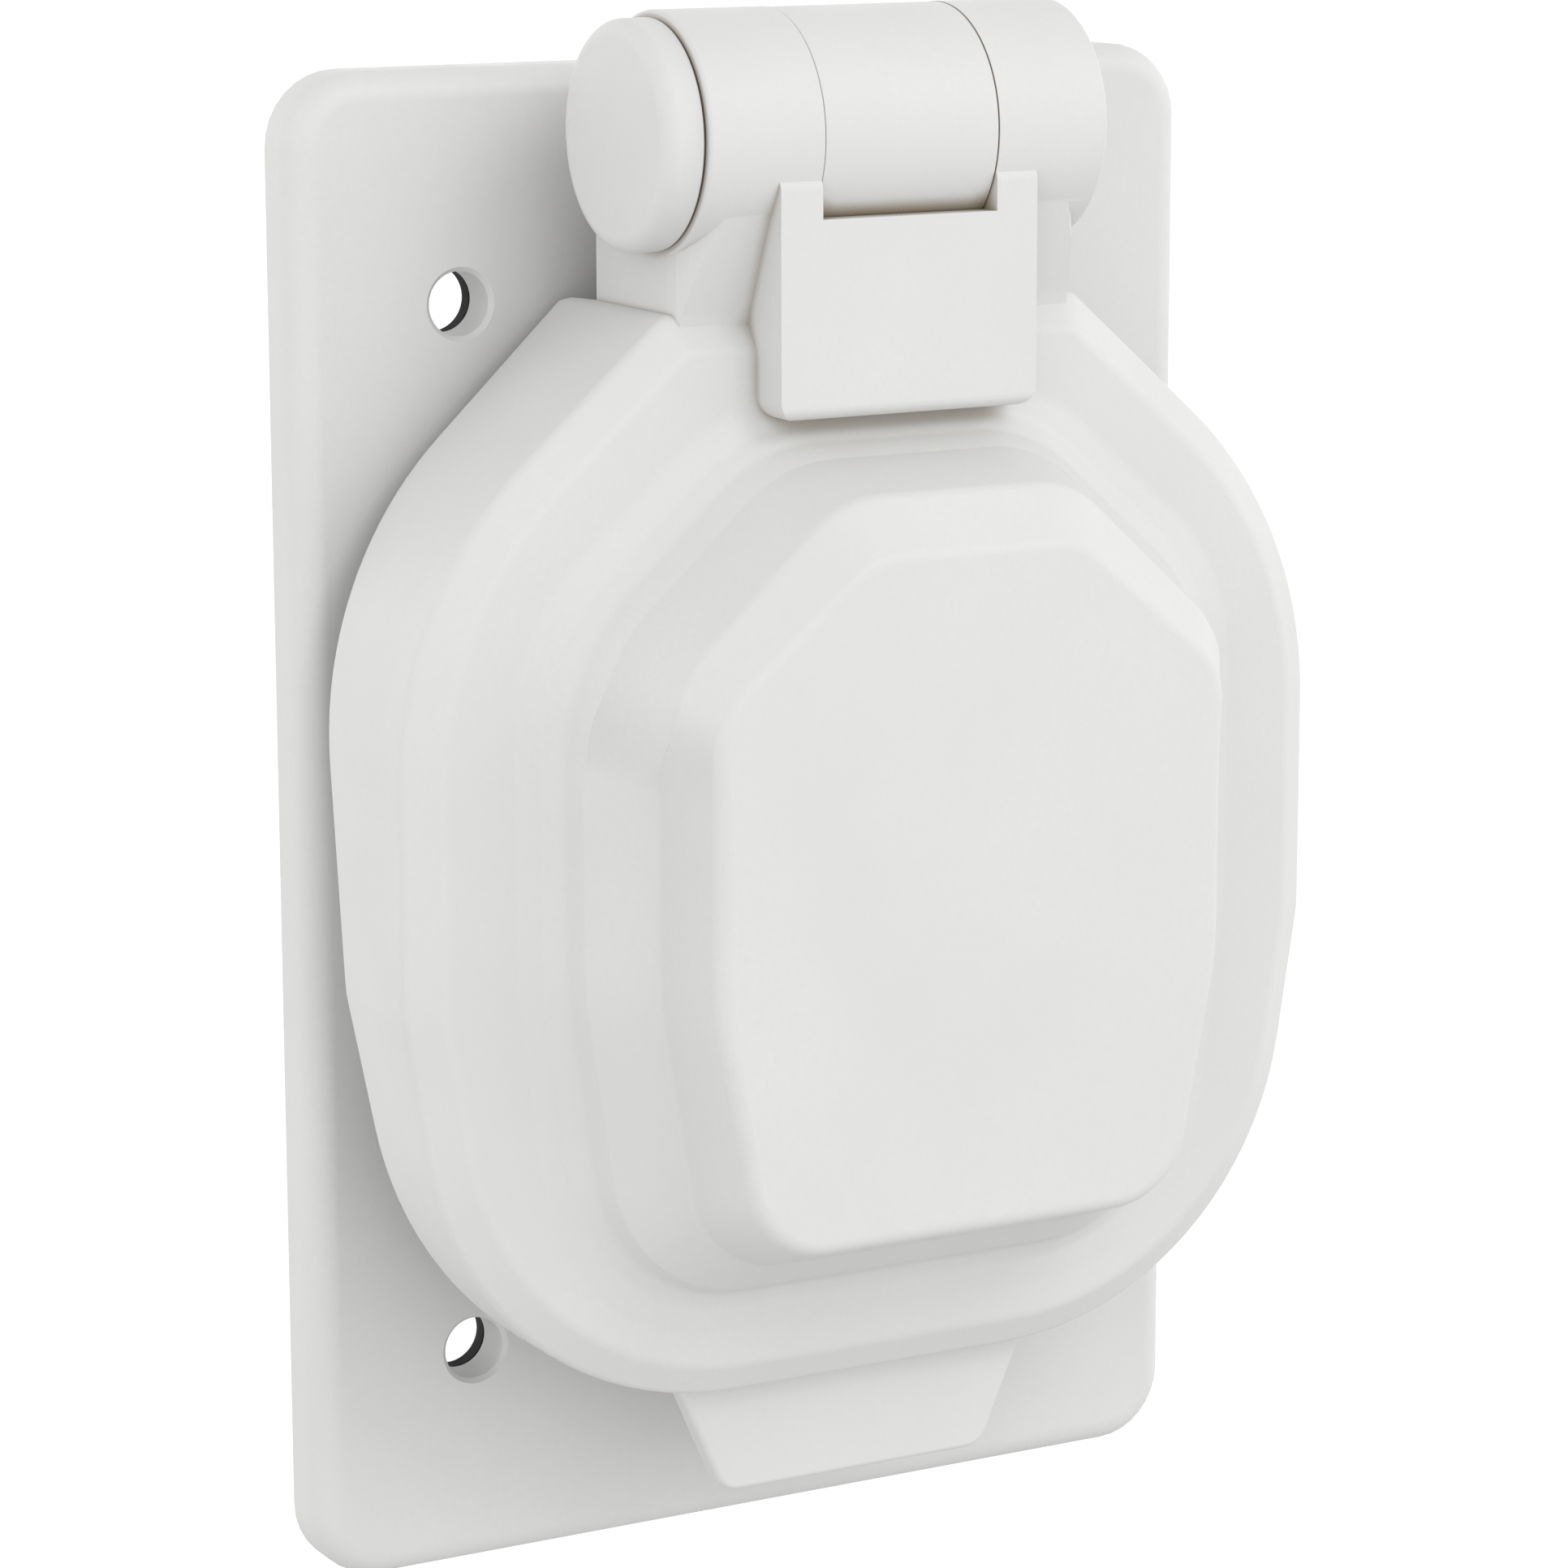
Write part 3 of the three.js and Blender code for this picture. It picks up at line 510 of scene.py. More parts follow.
def radial_rings(stations, steps=6):
    """Rings through the stations, each corner a smooth curve of so many steps."""
    points = [np.stack([r, y], axis=1) for r, y, _ in stations]
    rings = []
    for i, point in enumerate(points):
        fillet = stations[i][2]
        if not fillet:
            rings.append(point)
            continue
        before, after = points[i - 1] - point, points[i + 1] - point
        length_before = np.linalg.norm(before, axis=1, keepdims=True)
        length_after = np.linalg.norm(after, axis=1, keepdims=True)
        cosine = np.sum(before * after, axis=1, keepdims=True) / (length_before * length_after)
        half = np.arccos(np.clip(cosine, -1, 1)) / 2
        tangent = fillet / np.maximum(np.tan(half), 1e-3)
        tangent = np.minimum(tangent, 0.48 * np.minimum(length_before, length_after))
        start = point + before / length_before * tangent
        end = point + after / length_after * tangent
        for step in range(steps + 1):
            t = step / steps
            rings.append((1 - t) ** 2 * start + 2 * t * (1 - t) * point + t ** 2 * end)
    across, up = np.cos(ANGLES), np.sin(ANGLES)
    return [np.stack([r * across, y, CENTRE_Z + r * up], axis=1) for r, y in (ring.T for ring in rings)]


# ---- Lid ----

def rim_level(reach_at):
    """The y of the skirt's rim, which is nearest the plate at the top, but level under the hinge."""
    level = RIM["y"] + RIM["slope"] * (CENTRE_Z + reach_at * np.sin(ANGLES))
    under_hinge = (np.abs(reach_at * np.cos(ANGLES)) < RIM["relief_half"]) & (np.sin(ANGLES) > 0)
    return np.where(under_hinge, RIM["relief"], level)


def lid_shell():
    """The lid's moulding without its hinge: skirt, bevelled rim, dished face and stepped cap."""
    edge, face, bevel, wall = (SKIRT[key] for key in ("edge", "face", "bevel", "wall"))
    around, within = lid_reach(0), lid_reach(wall)
    cap_middle = cap_reach(-12, -12, -12) * 0.5
    cap_front, cap_inside = CAP["front"], CAP["front"] + 2.2
    floor = face + wall
    inner = [
        station(cap_middle, cap_inside),
        station(cap_reach(-2.6, -2.0, -2.1), cap_inside, 1.2),
        station(cap_reach(-0.9, 1.2, 0.4), -29.5, 1.0),
        station(cap_reach(2.9, 4.1, 3.8), floor, 1.0),
        station(within, floor, 1.0),
        station(within, rim_level(within), 0.35),
    ]
    outer = [
        station(around, rim_level(around), 0.5),
        station(around, edge, 1.1),
        station(lid_reach(bevel), face, 1.6),
        cap_station((9.3, 9.8, 9.4, 4.0), (9.3, 9.8), (face, face), 3.0),
        cap_station((7.2, 7.8, 7.3, 3.5), (7.2, 8.0), (face - 0.3, face - 0.6), 2.0),
        cap_station((6.0, 6.6, 6.1, 3.0), (5.6, 6.8), (face - 1.0, face - 1.8), 2.0),
        cap_station((5.1, 6.1, 5.4, 2.5), (4.4, 5.8), (-26.7, -28.2), 1.3),
        cap_station((1.25, 3.3, 2.6, 0.8), (2.0, 4.0), (-30.8, -34.8), 1.4),
        station(cap_reach(0, 0, 0), cap_front, 1.4),
        station(cap_middle, cap_front),
    ]
    return loft("lid_shell", radial_rings(inner + outer))


def cap_station(below, above, levels, fillet):
    """A corner of the cap's profile, which differs between its steep sides and its chamfered top.

    Below holds the growth at the sides, top and bottom and the softening; above, at the sides and top.
    """
    start, width = 0.34, 0.24
    share = np.clip((np.sin(ANGLES) - start) / width, 0, 1)
    share = share ** 2 * (3 - 2 * share)
    reach_at = cap_reach(*below) * (1 - share) + cap_reach(*above, 0, *below[3:]) * share
    return station(reach_at, levels[0] * (1 - share) + levels[1] * share, fillet)


def hinge_lug():
    """The neck between lid and barrel, with well-rounded front corners."""
    front, rear, foot, shoulder = (LUG[key] for key in ("front", "rear", "foot", "shoulder"))
    profile = rounded([
        (front, foot, 0), (rear, foot, 0), (rear, HINGE_Z - 4, 2.0),
        (HINGE_Y + BARREL_RADIUS - 0.1, HINGE_Z, 0), (HINGE_Y, HINGE_Z, 0),
        (HINGE_Y - 6.9, HINGE_Z - 5.5, 0), (front, shoulder, 7.0),
    ])
    plan = rounded([
        (-BARREL_HALF, STRAP["front"], 6.5), (BARREL_HALF, STRAP["front"], 6.5),
        (BARREL_HALF, rear + 1, 0), (-BARREL_HALF, rear + 1, 0),
    ])
    lug = prism("lug", "x", profile, -BARREL_HALF, BARREL_HALF)
    return meet(lug, prism("plan", "z", plan, foot - 1, HINGE_Z + 1))


def guard_strap():
    """The flat strap that guards the middle knuckle's notch, with small rounded lower corners."""
    half, front, rear, bottom, top, neck = (
        STRAP[key] for key in ("half", "front", "rear", "bottom", "top", "neck"))
    profile = rounded([
        (front, bottom, 1.0), (rear, bottom, 0), (rear, neck, 0), (HINGE_Y, top, 0), (front, top, 1.2),
    ])
    outline = rounded([
        (-half, bottom, 1.4), (half, bottom, 1.4), (half, top + 0.5, 0), (-half, top + 0.5, 0),
    ])
    strap = prism("strap", "x", profile, -half, half)
    return soften(meet(strap, prism("front", "y", outline, front - 1, HINGE_Y + 1)), 0.7, 3, 60)


def lift_tab():
    """The plain tab under the lid, which a finger lifts."""
    outline = mirrored([
        (TAB["half_bottom"], TAB["bottom"], 2.0), (TAB["half_top"], LID["bottom"] + 0.6, 0),
    ])
    return prism("tab", "y", outline, TAB["front"], TAB["rear"], 0.45)


def flip_lid():
    """The whole moulding, with the hinge's barrel, lug and strap, and room for the middle knuckle."""
    axis = (0, HINGE_Y, HINGE_Z)
    lid = join(
        lid_shell(), hinge_lug(),
        rod("x", axis, BARREL_RADIUS, -BARREL_HALF, BARREL_HALF, 0.3, 128),
        guard_strap(), lift_tab(),
    )
    half, radius, above = NOTCH["half"], NOTCH["radius"], HINGE_Z + 12
    return cut(
        lid,
        rod("x", axis, radius, -half, half, 0, 128),
        block("clear", (-half, HINGE_Y, HINGE_Z - radius), (half, 0, above)),
        block("notch", (-half, STRAP["front"] - 2, NOTCH["bottom"]), (half, HINGE_Y + 1, above)),
        rod("x", axis, 6.6, -BARREL_HALF - 1, -MIDDLE_HALF, 0.3),
        rod("x", axis, BORE, MIDDLE_HALF, BARREL_HALF + 1),
        rod("x", axis, 4.6, 13.6, BARREL_HALF + 1),
    )


# ---- Wall plate ----

def wall_plate():
    """The plate with its rounded front edge, the middle knuckle on its web, and its holes."""
    front, edge = -PLATE["thickness"], PLATE["edge"]
    rings = [along("y", plate_outline(0.25), 0), along("y", plate_outline(0), -0.3)]
    for step in range(7):
        angle = step / 6 * math.pi / 2
        inset = edge * (1 - math.cos(angle))
        rings.append(along("y", plate_outline(inset), front + edge * (1 - math.sin(angle))))
    plate = loft("wall_plate", rings)
    web = prism("web", "x", rounded([
        (HINGE_Y, HINGE_Z - 6.5, 0), (front + 1.5, HINGE_Z - 6.5, 0), (front + 1.5, PLATE_TOP - 0.6, 0),
        (front - 1, PLATE_TOP, 0), (HINGE_Y + 5.5, HINGE_Z + 6.5, 0),
        (HINGE_Y, HINGE_Z + BARREL_RADIUS - 0.5, 0),
    ]), -MIDDLE_HALF, MIDDLE_HALF, 0.1)
    axis = (0, HINGE_Y, HINGE_Z)
    knuckle = rod("x", axis, BARREL_RADIUS - 0.04, -MIDDLE_HALF, MIDDLE_HALF, 0.1, 128)
    join(plate, web, knuckle)
    tools = [
        rod("y", (0, 0, CENTRE_Z), 21.0, front - 1, 1, 0, 128),
        prism("recess", "y", plate_outline(REAR_RECESS["inset"]), -REAR_RECESS["depth"], 1),
        rod("x", axis, BORE, -BARREL_HALF, BARREL_HALF),
        rod("x", (0, HINGE_Y + 4.6, HINGE_Z), 0.9, -BARREL_HALF, -MIDDLE_HALF + 4.4, 0, 24),
    ]
    tools += [screw_hole(x, z, MOUNT_HOLE["radius"], 0.35) for x, z in MOUNT_POINTS]
    tools += [screw_hole(x, CENTRE_Z, SCREW_CLEARANCE, 0.25) for x in FLANGE_SCREW_X]
    return cut(plate, *tools)


def seal_collar():
    """The ring that the lid's gasket closes on, with the lip that the flange clamps."""
    inner, outer, lip, front = (COLLAR[key] for key in ("inner", "outer", "lip", "front"))
    rear = -PLATE["thickness"] - 0.3
    return lathe("collar", "y", (0, 0, CENTRE_Z), [
        (lip, rear, 0.2), (outer, rear, 0.4), (outer, front, 0.8),
        (inner, front, 0.8), (inner, rear - 1.2, 0.3), (lip, rear - 1.2, 0.2),
    ], 192)


def screw_hole(x, z, radius, lead):
    """A through hole in the plate with a small lead-in at its front."""
    front = -PLATE["thickness"]
    return lathe("hole", "y", (x, 0, z), [
        (0, front - 1, 0), (radius + lead, front - 1, 0), (radius + lead, front - 0.01, 0),
        (radius, front + lead, 0), (radius, 1, 0), (0, 1, 0),
    ], 64)


# ---- Hinge ----

def hinge_end_cap():
    """The left cap: a filleted disc with a spigot in the barrel and a bore for the pin's end."""
    seat = -BARREL_HALF - 0.14
    outer = box_mm("hinge_end_cap")[0][0]
    bore_end = box_mm("hinge_pin")[0][0] - 0.3
    return lathe("end_cap", "x", (0, HINGE_Y, HINGE_Z), [
        (0, outer, 0), (8.3, outer, 1.2), (8.3, seat, 0.15), (6.3, seat, 0), (6.3, seat + 2.0, 0.3),
        (BORE, seat + 2.0, 0), (BORE, bore_end, 0), (0, bore_end, 0),
    ], 128, 8)


def tube(name, path, radius, sides=14):
    """A round wire along a path of points, with flat ends."""
    path = np.asarray(path, float)
    along_path = np.gradient(path, axis=0)
    along_path /= np.linalg.norm(along_path, axis=1, keepdims=True)
    side = np.cross(along_path[0], [0.3, 0.5, 0.8])
    angles = np.linspace(0, 2 * math.pi, sides, endpoint=False)[:, None]
    rings = []
    for point, forward in zip(path, along_path):
        side = side - forward * (side @ forward)
        side /= np.linalg.norm(side)
        rings.append(point + radius * (np.cos(angles) * side + np.sin(angles) * np.cross(forward, side)))
    return loft(name, rings)


def torsion_spring():
    """A close coil round the pin, with a leg into the middle knuckle and one against the lid."""
    mean, wire, left, right, turns = 4.6, 0.45, -14.0, -8.2, 5

    def at(x, radius, angle):
        return (x, HINGE_Y + radius * math.cos(angle), HINGE_Z + radius * math.sin(angle))

    path = [at(left, 5.9, -0.35), at(left, 5.4, -0.2), at(left, 4.9, -0.08)]
    steps = 48 * turns
    for step in range(steps + 1):
        share = step / steps
        path.append(at(left + (right - left) * share, mean, 2 * math.pi * turns * share))
    path += [at(right + 0.5, mean, 0.05), at(right + 1.1, mean, 0.03)]
    path += [at(x, mean, 0) for x in np.linspace(right + 1.8, -3.3, 8)]
    return tube("spring", path, wire)


def hinge_pin():
    """The pin, with rounded ends."""
    low, high = box_mm("hinge_pin")
    return lathe("pin", "x", (0, HINGE_Y, HINGE_Z),
                 [(0, low[0], 0), (2.5, low[0], 0.5), (2.5, high[0], 0.5), (0, high[0], 0)], 64)


def hinge_pin_retainer():
    """A push-on ring with six teeth's slots round its bore."""
    low, high = box_mm("hinge_pin_retainer")
    ring = lathe("ring", "x", (0, HINGE_Y, HINGE_Z), [
        (BORE, low[0], 0.1), (4.2, low[0], 0.25), (4.2, high[0], 0.25), (BORE, high[0], 0.1)], 72)
    slots = []
    for turn in range(6):
        slot = block("slot", (low[0] - 1, -0.25, 0), (high[0] + 1, 0.25, 3.4))
        slot.data.transform(Matrix.Rotation(turn * math.pi / 3, 4, "X"))
        slot.data.transform(Matrix.Translation(Vector((0, HINGE_Y, HINGE_Z)) * MM))
        slots.append(slot)
    return cut(ring, *slots)


# ---- Gaskets ----

def ring_seal(node, inner, outer, edge, holes=()):
    """A flat rubber ring in the place of a CAD node."""
    low, high = box_mm(node)
    front, rear = low[1], high[1]
    ring = lathe("seal", "y", (0, 0, CENTRE_Z), [
        (inner, rear, edge), (outer, rear, edge), (outer, front, edge), (inner, front, edge)], 192)
    if not holes:
        return ring
    return cut(ring, *[rod("y", (x, 0, CENTRE_Z), 2.2, -9, 0) for x in holes])


def wall_gasket():
    """The sheet behind the plate, with a hole at each of the plate's holes and one round the inlet."""
    low, high = box_mm("wall_gasket")
    sheet = prism("sheet", "y", plate_outline(REAR_RECESS["inset"] + 0.3), low[1], high[1], 0.2)
    holes = [rod("y", (x, 0, z), MOUNT_HOLE["radius"] + 0.05, -9, 1) for x, z in MOUNT_POINTS]
    return cut(sheet, rod("y", (0, 0, CENTRE_Z), 28.0, -9, 1, 0, 160), *holes)


# ---- Inlet ----

BLADE_X, BLADE_Z, GROUND_Z = 6.35, -4.7, 7.2
TERMINAL_Y = 11.5  # of the terminal screws
TAIL_HALF = 4.5  # half the width of each contact's tail
BODY_RADIUS = 20.6
BODY_SCREW_HOLE = 1.7
PAST_BODY = 23.0  # how far a pocket's tool reaches, to open it at the side
BODY_SCREWS = {"top_left": (-12.5, 8.8), "top_right": (12.5, 8.8), "bottom": (0, -15.5)}


def inlet_front_body():
    """The flange, its spigot and the shroud that a connector slides into."""
    flange = lathe("front", "y", (0, 0, CENTRE_Z), [
        (0, 3, 0), (BODY_RADIUS, 3, 0.4), (BODY_RADIUS, -6.8, 0.3),
        (30.9, -6.8, 0.5), (30.9, -10.2, 0.9), (0, -10.2, 0),
    ], 192)
    shroud = prism("shroud", "y", cap_outline(-3.6, -3.6, -3.6, -2, 10), -33.5, -9.5, 0.6)
    socket = prism("socket", "y", cap_outline(-5.4, -5.4, -5.4, -2, 10), -35, -10.2, 0.5)
    foot = prism("foot", "y", cap_outline(-2.7, -2.7, -2.7, -2, 10), -12.2, -9.5, 0.7)
    tools = [socket]
    for side, half in ((1, 3.475), (-1, 4.25)):
        x = side * BLADE_X
        tools.append(block("slot", (x - 1.05, -11, BLADE_Z - half), (x + 1.05, 4, BLADE_Z + half), 0.2))
    tools += [rod("y", (x, 0, CENTRE_Z), SCREW_CLEARANCE, -11, -6) for x in FLANGE_SCREW_X]
    tools.append(rod("y", (0, 0, GROUND_Z), 2.68, -11, 4))
    tools += [rod("y", (x, 0, z), BODY_SCREW_HOLE, -5.8, 4, 0, 32) for x, z in BODY_SCREWS.values()]
    return cut(join(flange, foot, shroud), *tools)


def inlet_rear_body():
    """The terminal block: a drum with an open pocket for each terminal."""
    front, rear = (corner[1] for corner in box_mm("inlet_rear_body"))
    start, end = front - 1, rear + 1
    groove = BODY_RADIUS - 0.3
    drum = lathe("drum", "y", (0, 0, CENTRE_Z), [
        (0, front, 0), (BODY_RADIUS, front, 0.4), (BODY_RADIUS, 9.2, 0.2), (groove, 9.5, 0.1),
        (groove, 10.1, 0.1), (BODY_RADIUS, 10.4, 0.2), (BODY_RADIUS, rear, 0.3), (0, rear, 0),
    ], 192)
    half, floor, tip = 5.6, 4.6, 2.2
    low, high = BLADE_Z - half, BLADE_Z + half
    ground_floor = GROUND_Z - 2.88
    tools = [
        block("pocket", (floor, start, low), (PAST_BODY, end, high), 0.5),
        block("pocket", (-PAST_BODY, start, low), (-floor, end, high), 0.5),
        block("pocket", (-half, start, ground_floor), (half, end, PAST_BODY), 0.5),
        rod("x", (0, TERMINAL_Y, BLADE_Z), tip, 2, 5.6, 0, 32),
        rod("x", (0, TERMINAL_Y, BLADE_Z), tip, -5.6, -2, 0, 32),
        rod("z", (0, TERMINAL_Y, 0), tip, ground_floor - 1.7, ground_floor + 1, 0, 32),
    ]
    tools += [rod("y", (x, 0, z), BODY_SCREW_HOLE, start, end, 0, 32) for x, z in BODY_SCREWS.values()]
    return cut(drum, *tools)


def inlet_rear_cover():
    """The cover behind the terminal block, with a wire slot at each pocket and recessed screw heads."""
    front, rear = (corner[1] for corner in box_mm("inlet_rear_cover"))
    start, end = front - 1, rear + 1
    disc = lathe("disc", "y", (0, 0, CENTRE_Z), [
        (0, front, 0), (BODY_RADIUS, front, 0.3), (BODY_RADIUS, rear, 1.2), (12.6, rear, 0.3),
        (12.0, rear - 0.5, 0.3), (0, rear - 0.5, 0),
    ], 192)
    half, floor, ground_floor = 3, 6.9, GROUND_Z + 0.8
    low, high = BLADE_Z - half, BLADE_Z + half
    tools = [
        block("wire", (floor, start, low), (PAST_BODY, end, high), 0.5),
        block("wire", (-PAST_BODY, start, low), (-floor, end, high), 0.5),
        block("wire", (-half, start, ground_floor), (half, end, PAST_BODY), 0.5),
    ]
    for x, z in BODY_SCREWS.values():
        tools.append(rod("y", (x, 0, z), BODY_SCREW_HOLE, start, end, 0, 32))
        tools.append(rod("y", (x, 0, z), 3.2, rear - 3.2, end, 0.2, 48))
    return cut(disc, *tools)


def blade(side):
    """A stamped blade with a chamfered tip and a wide tail with its screw's hole."""
    node = "line_blade" if side > 0 else "neutral_blade"
    low, high = box_mm(node)
    rise = 3.175 if side > 0 else 3.95
    tip, shoulder = low[1], 3.3
    outline = [
        (tip, -rise + 1), (tip, rise - 1), (tip + 1, rise), (shoulder, rise), (shoulder, TAIL_HALF),
        (high[1], TAIL_HALF), (high[1], -TAIL_HALF), (shoulder, -TAIL_HALF), (shoulder, -rise),
        (tip + 1, -rise),
    ]
    strip = prism("blade", "x", [(y, BLADE_Z + z) for y, z in outline], low[0], high[0], 0.22)
    hole = rod("x", (0, TERMINAL_Y, BLADE_Z), SCREW_CLEARANCE, low[0] - 1, high[0] + 1, 0, 40)
    return cut(strip, hole)


def ground_pin():
    """The round ground pin with a domed nose and a flat tail."""
    low, high = box_mm("ground_pin")
    radius, root = 2.38, 4.3
    pin = lathe("pin", "y", (0, 0, GROUND_Z), [
        (0, low[1], 0), (radius, low[1], 1.7), (radius, root, 0.2), (0, root, 0)], 72, 10)
    low_z, high_z = GROUND_Z - 0.75, GROUND_Z + 0.75
    tail = block("tail", (-TAIL_HALF, root - 1, low_z), (TAIL_HALF, high[1], high_z), 0.2)
    hole = rod("z", (0, TERMINAL_Y, 0), SCREW_CLEARANCE, GROUND_Z - 2, GROUND_Z + 2, 0, 40)
    return cut(join(pin, tail), hole)


# Each terminal is drawn for the line side, then turned about Y to its own place.
TERMINALS = {
    "line": (0, (BLADE_X, 0, BLADE_Z)),
    "neutral": (math.pi, (-BLADE_X, 0, BLADE_Z)),
    "ground": (-math.pi / 2, (0, 0, GROUND_Z)),
}


def to_terminal(obj, pole):
    """Turns and moves a piece drawn at the origin to its terminal."""
    turn, position = TERMINALS[pole]
    obj.data.transform(Matrix.Rotation(turn, 4, "Y"))
    obj.data.transform(Matrix.Translation(Vector(position) * MM))
    return obj


def clamp_plate(pole):
    """A wire clamp with a grooved gripping face."""
    plate = block("clamp", (3.55, 6.5, -4.3), (5.05, 16.5, 4.3), 0.3)
    grooves = []
    for z in np.arange(-3.6, 3.7, 0.9):
        outline = [(3.4, z - 0.3), (3.4, z + 0.3), (3.8, z)]
        grooves.append(prism("groove", "y", outline, 5, 18))
    plate = cut(plate, rod("x", (0, TERMINAL_Y, 0), SCREW_CLEARANCE, 2, 7, 0, 40), *grooves)
    return to_terminal(plate, pole)


def threaded(axis, centre, radius, start, end, pitch, root=0.82):
    """A screw's shank with rounded thread crests; its profile runs from start to end."""
    sign = 1 if end > start else -1
    corners = [(0, start, 0)]
    level = start
    while abs(end - level) > pitch * 1.2:
        corners += [(radius * root, level, 0), (radius, level + sign * pitch * 0.5, 0.04)]
        level += sign * pitch
    corners += [(radius * root, level, 0), (radius * 0.7, end, 0), (0, end, 0)]
    return lathe("shank", axis, centre, corners, 36, 2)


def terminal_screw(pole):
    """A binding-head screw with a straight slot."""
    seat, end = 5.35, 7.95
    centre, radius = (0, TERMINAL_Y, 0), 3.6
    head = lathe("head", "x", centre, [
        (0, seat, 0), (radius, seat, 0.25), (radius, end, 0.9), (0, end, 0)], 72)
    shank = threaded("x", centre, 1.75, seat + 0.4, -1.55, 0.8)
    slot = block("slot", (end - 1.1, TERMINAL_Y - 0.5, -5), (end + 1, TERMINAL_Y + 0.5, 5))
    return to_terminal(cut(join(head, shank), slot), pole)


def cross_screw(x, z, head, height, radius, seat, tip):
    """A pan-head screw along Y with a cross recess; its head is on the seat's side away from the tip."""
    out = 1 if seat > tip else -1
    face = seat + out * height
    body = lathe("head", "y", (x, 0, z), [
        (0, seat, 0), (head, seat, 0.2), (head, face, 1.1), (0, face, 0)], 72, 8)
    shank = threaded("y", (x, 0, z), radius, seat + out * 0.4, tip, 0.7)
    low_y, high_y = sorted((face - out * 1.1, face + out))
    slots = [block("slot", (x - across, low_y, z - up), (x + across, high_y, z + up))
             for across, up in ((1.7, 0.35), (0.35, 1.7))]
    return cut(join(body, shank), *slots)


# ---- The pieces, with the bodies and CAD nodes they stand for ----

place(wall_plate(), "plate_moulding", "inlet_base", "wall_plate", "shell_plastic")
place(seal_collar(), "collar_ring", "inlet_base", "seal_collar", "shell_plastic")
place(wall_gasket(), "plate_seal", "inlet_base", "wall_gasket", "gasket_rubber")
place(flip_lid(), "lid_moulding", "lid", "flip_lid", "shell_plastic")
place(ring_seal("lid_gasket", 30.6, 34.6, 0.5), "lid_seal", "lid", "lid_gasket", "gasket_rubber")
place(hinge_end_cap(), "barrel_end_cap", "lid", "hinge_end_cap", "shell_plastic")
place(hinge_pin(), "hinge_rod", "inlet_base", "hinge_pin", "steel")
place(hinge_pin_retainer(), "push_ring", "inlet_base", "hinge_pin_retainer", "steel")
place(torsion_spring(), "closing_spring", "inlet_base", "torsion_spring", "steel")
place(inlet_front_body(), "shroud_moulding", "inlet_base", "inlet_front_body", "inlet_nylon")
place(ring_seal("flange_gasket", 21.3, 28.1, 0.2, FLANGE_SCREW_X), "flange_seal", "inlet_base",
      "flange_gasket", "gasket_rubber")
place(inlet_rear_body(), "terminal_block", "inlet_base", "inlet_rear_body", "terminal_nylon")
place(inlet_rear_cover(), "terminal_cover", "inlet_base", "inlet_rear_cover", "terminal_nylon")
place(blade(1), "narrow_contact", "inlet_base", "line_blade", "brass")
place(blade(-1), "wide_contact", "inlet_base", "neutral_blade", "nickel")
place(ground_pin(), "round_contact", "inlet_base", "ground_pin", "brass")
for pole, slot in (("line", "brass"), ("neutral", "nickel"), ("ground", "green_screw")):
    body = pole + "_terminal"
    place(clamp_plate(pole), pole + "_grip", body, pole + "_clamp", "steel")
    place(terminal_screw(pole), pole + "_binding_screw", body, pole + "_terminal_screw", slot)
for side, x in zip(("left", "right"), FLANGE_SCREW_X):
    screw = cross_screw(x, CENTRE_Z, 3.2, 2.2, 1.75, -10.5, -0.8)
    place(screw, "flange_fixing_" + side, "inlet_base", "flange_screw_" + side, "steel")
for corner, (x, z) in BODY_SCREWS.items():
    screw = cross_screw(x, z, 2.8, 2.0, 1.4, 23.1, -5.5)
    place(screw, "block_fixing_" + corner, "inlet_base", "body_screw_" + corner, "steel")


# ---- Floor, light and camera ----

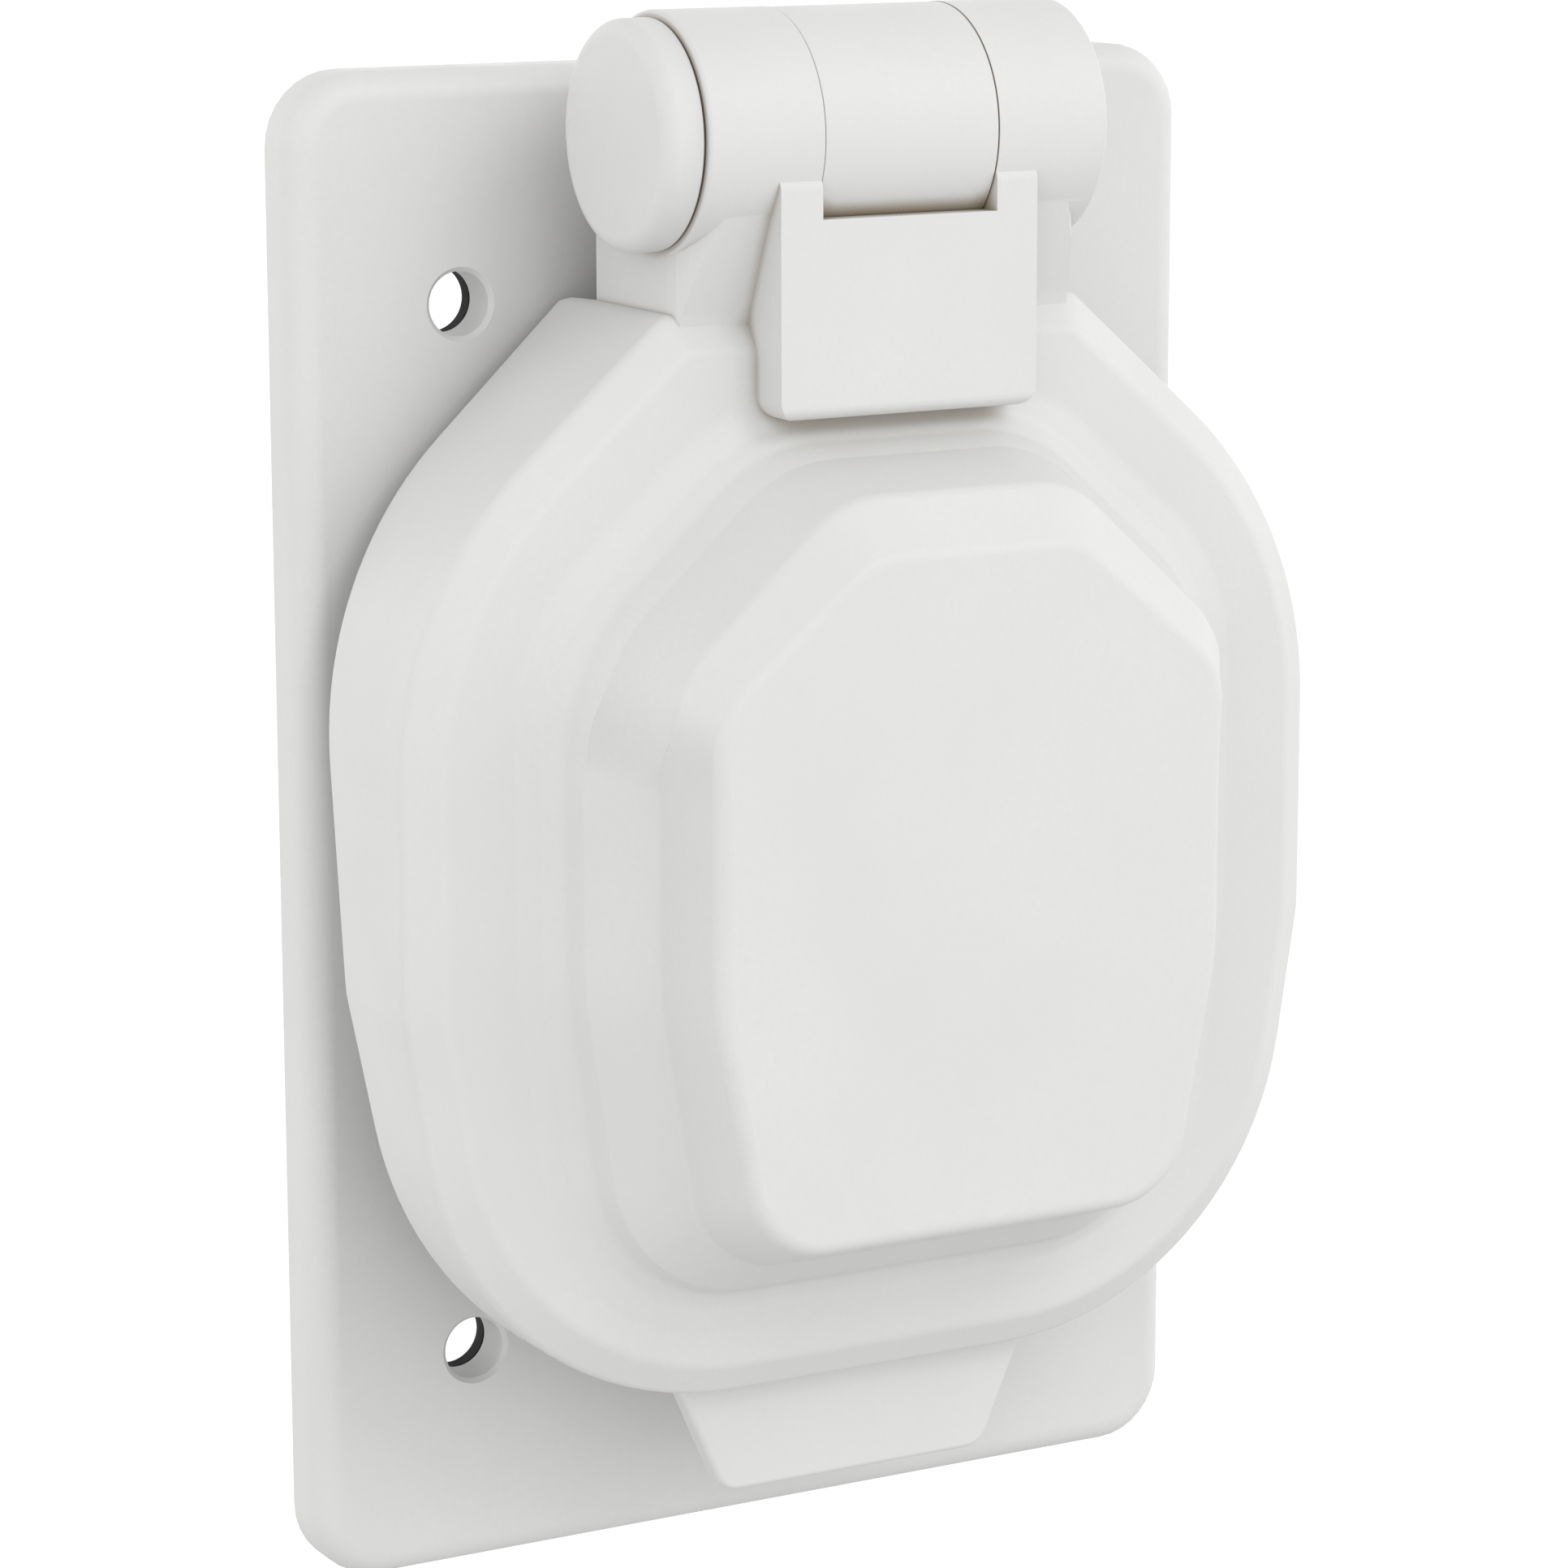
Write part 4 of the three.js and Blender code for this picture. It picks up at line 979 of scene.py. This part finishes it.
def floor():
    """A pale floor well below the part, which glows by its own emission and so lights the part from
    below; its glow is dimmer beneath the part, a painted shadow. Sizes here are in metres.
    """
    size, level = 60.0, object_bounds()[0][2] - 0.35
    corners = [(-size, -size, level), (size, -size, level), (size, size, level), (-size, size, level)]
    mesh = bpy.data.meshes.new("floor")
    mesh.from_pydata(corners, [], [(0, 1, 2, 3)])
    obj = bpy.data.objects.new("floor", mesh)
    bpy.context.scene.collection.objects.link(obj)
    graph = Graph("floor_glow_painted_shadow", Roughness=0.9)
    tone = graph.mixed(graph.ranged(graph.noise(3, 3), 0, 1), (0.98, 0.98, 0.98), (1, 1, 1))
    # Painted light: the floor is almost black and glows by emission; the glow is dimmer near the part, a
    # painted shadow under it, and full far out.
    graph.link(graph.mixed(0.97, tone, (0, 0, 0)), graph.shader.inputs["Base Color"])
    graph.link(tone, graph.shader.inputs["Emission Color"])
    distance = graph.nodes.new("ShaderNodeVectorMath")
    distance.operation = "LENGTH"
    graph.link(graph.coordinates, distance.inputs[0])
    strength = graph.ranged(distance.outputs["Value"], 0.6, 1.02, 0.55, 0.95)
    graph.link(strength, graph.shader.inputs["Emission Strength"])
    mesh.materials.append(graph.material)
    obj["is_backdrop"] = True


def area_light(name, position, size, power):
    """A soft lamp that faces the object."""
    data = bpy.data.lights.new(name, "AREA")
    data.shape, data.size, data.energy = "DISK", size, power
    obj = bpy.data.objects.new(name, data)
    obj.location = position
    obj.rotation_euler = (-Vector(position)).to_track_quat("-Z", "Y").to_euler()
    bpy.context.scene.collection.objects.link(obj)


def camera():
    """Looks down at the part from its front left. Angles in degrees and distances in millimetres."""
    azimuth, elevation, roll = math.radians(28.849), math.radians(11.563), math.radians(-0.1085)
    aim = Vector((4.955, 0, 0.198)) * MM
    distance = 403.85 * MM
    flat = Vector((-math.sin(azimuth), -math.cos(azimuth), 0))
    back = flat * math.cos(elevation) + Vector((0, 0, math.sin(elevation)))
    level_right = Vector((0, 0, 1)).cross(back).normalized()
    level_up = back.cross(level_right)
    right = level_right * math.cos(roll) + level_up * math.sin(roll)
    up = level_up * math.cos(roll) - level_right * math.sin(roll)
    data = bpy.data.cameras.new("camera")
    data.lens, data.sensor_width = 118.17, 36
    data.clip_start, data.clip_end = 0.01, 500
    obj = bpy.data.objects.new("camera", data)
    turn = Matrix((right, up, back)).transposed().to_4x4()
    obj.matrix_world = Matrix.Translation(aim + back * distance) @ turn
    bpy.context.scene.collection.objects.link(obj)
    bpy.context.scene.camera = obj


SKY = {"From Min": 0.0, "From Max": 1.0, "To Min": 1.685, "To Max": 0.657}


def world():
    """A white surround, bright from the horizon down and dimmer overhead."""
    studio = bpy.data.worlds.new("studio")
    bpy.context.scene.world = studio
    studio.use_nodes = True
    tree = studio.node_tree
    direction = tree.nodes.new("ShaderNodeTexCoord").outputs["Generated"]
    split = tree.nodes.new("ShaderNodeSeparateXYZ")
    ramp = tree.nodes.new("ShaderNodeMapRange")
    for socket, number in SKY.items():
        ramp.inputs[socket].default_value = number
    tree.links.new(direction, split.inputs["Vector"])
    tree.links.new(split.outputs["Z"], ramp.inputs["Value"])
    tree.nodes["Background"].inputs["Color"].default_value = (1, 1, 1, 1)
    tree.links.new(ramp.outputs["Result"], tree.nodes["Background"].inputs["Strength"])


bpy.context.scene.view_settings.view_transform = "Standard"
world()
floor()
area_light("key", (1.1, -0.5, 0.7), 0.5, 1.05)
area_light("front_key", (0.3, -1.0, 0.9), 0.5, 2.5)
camera()
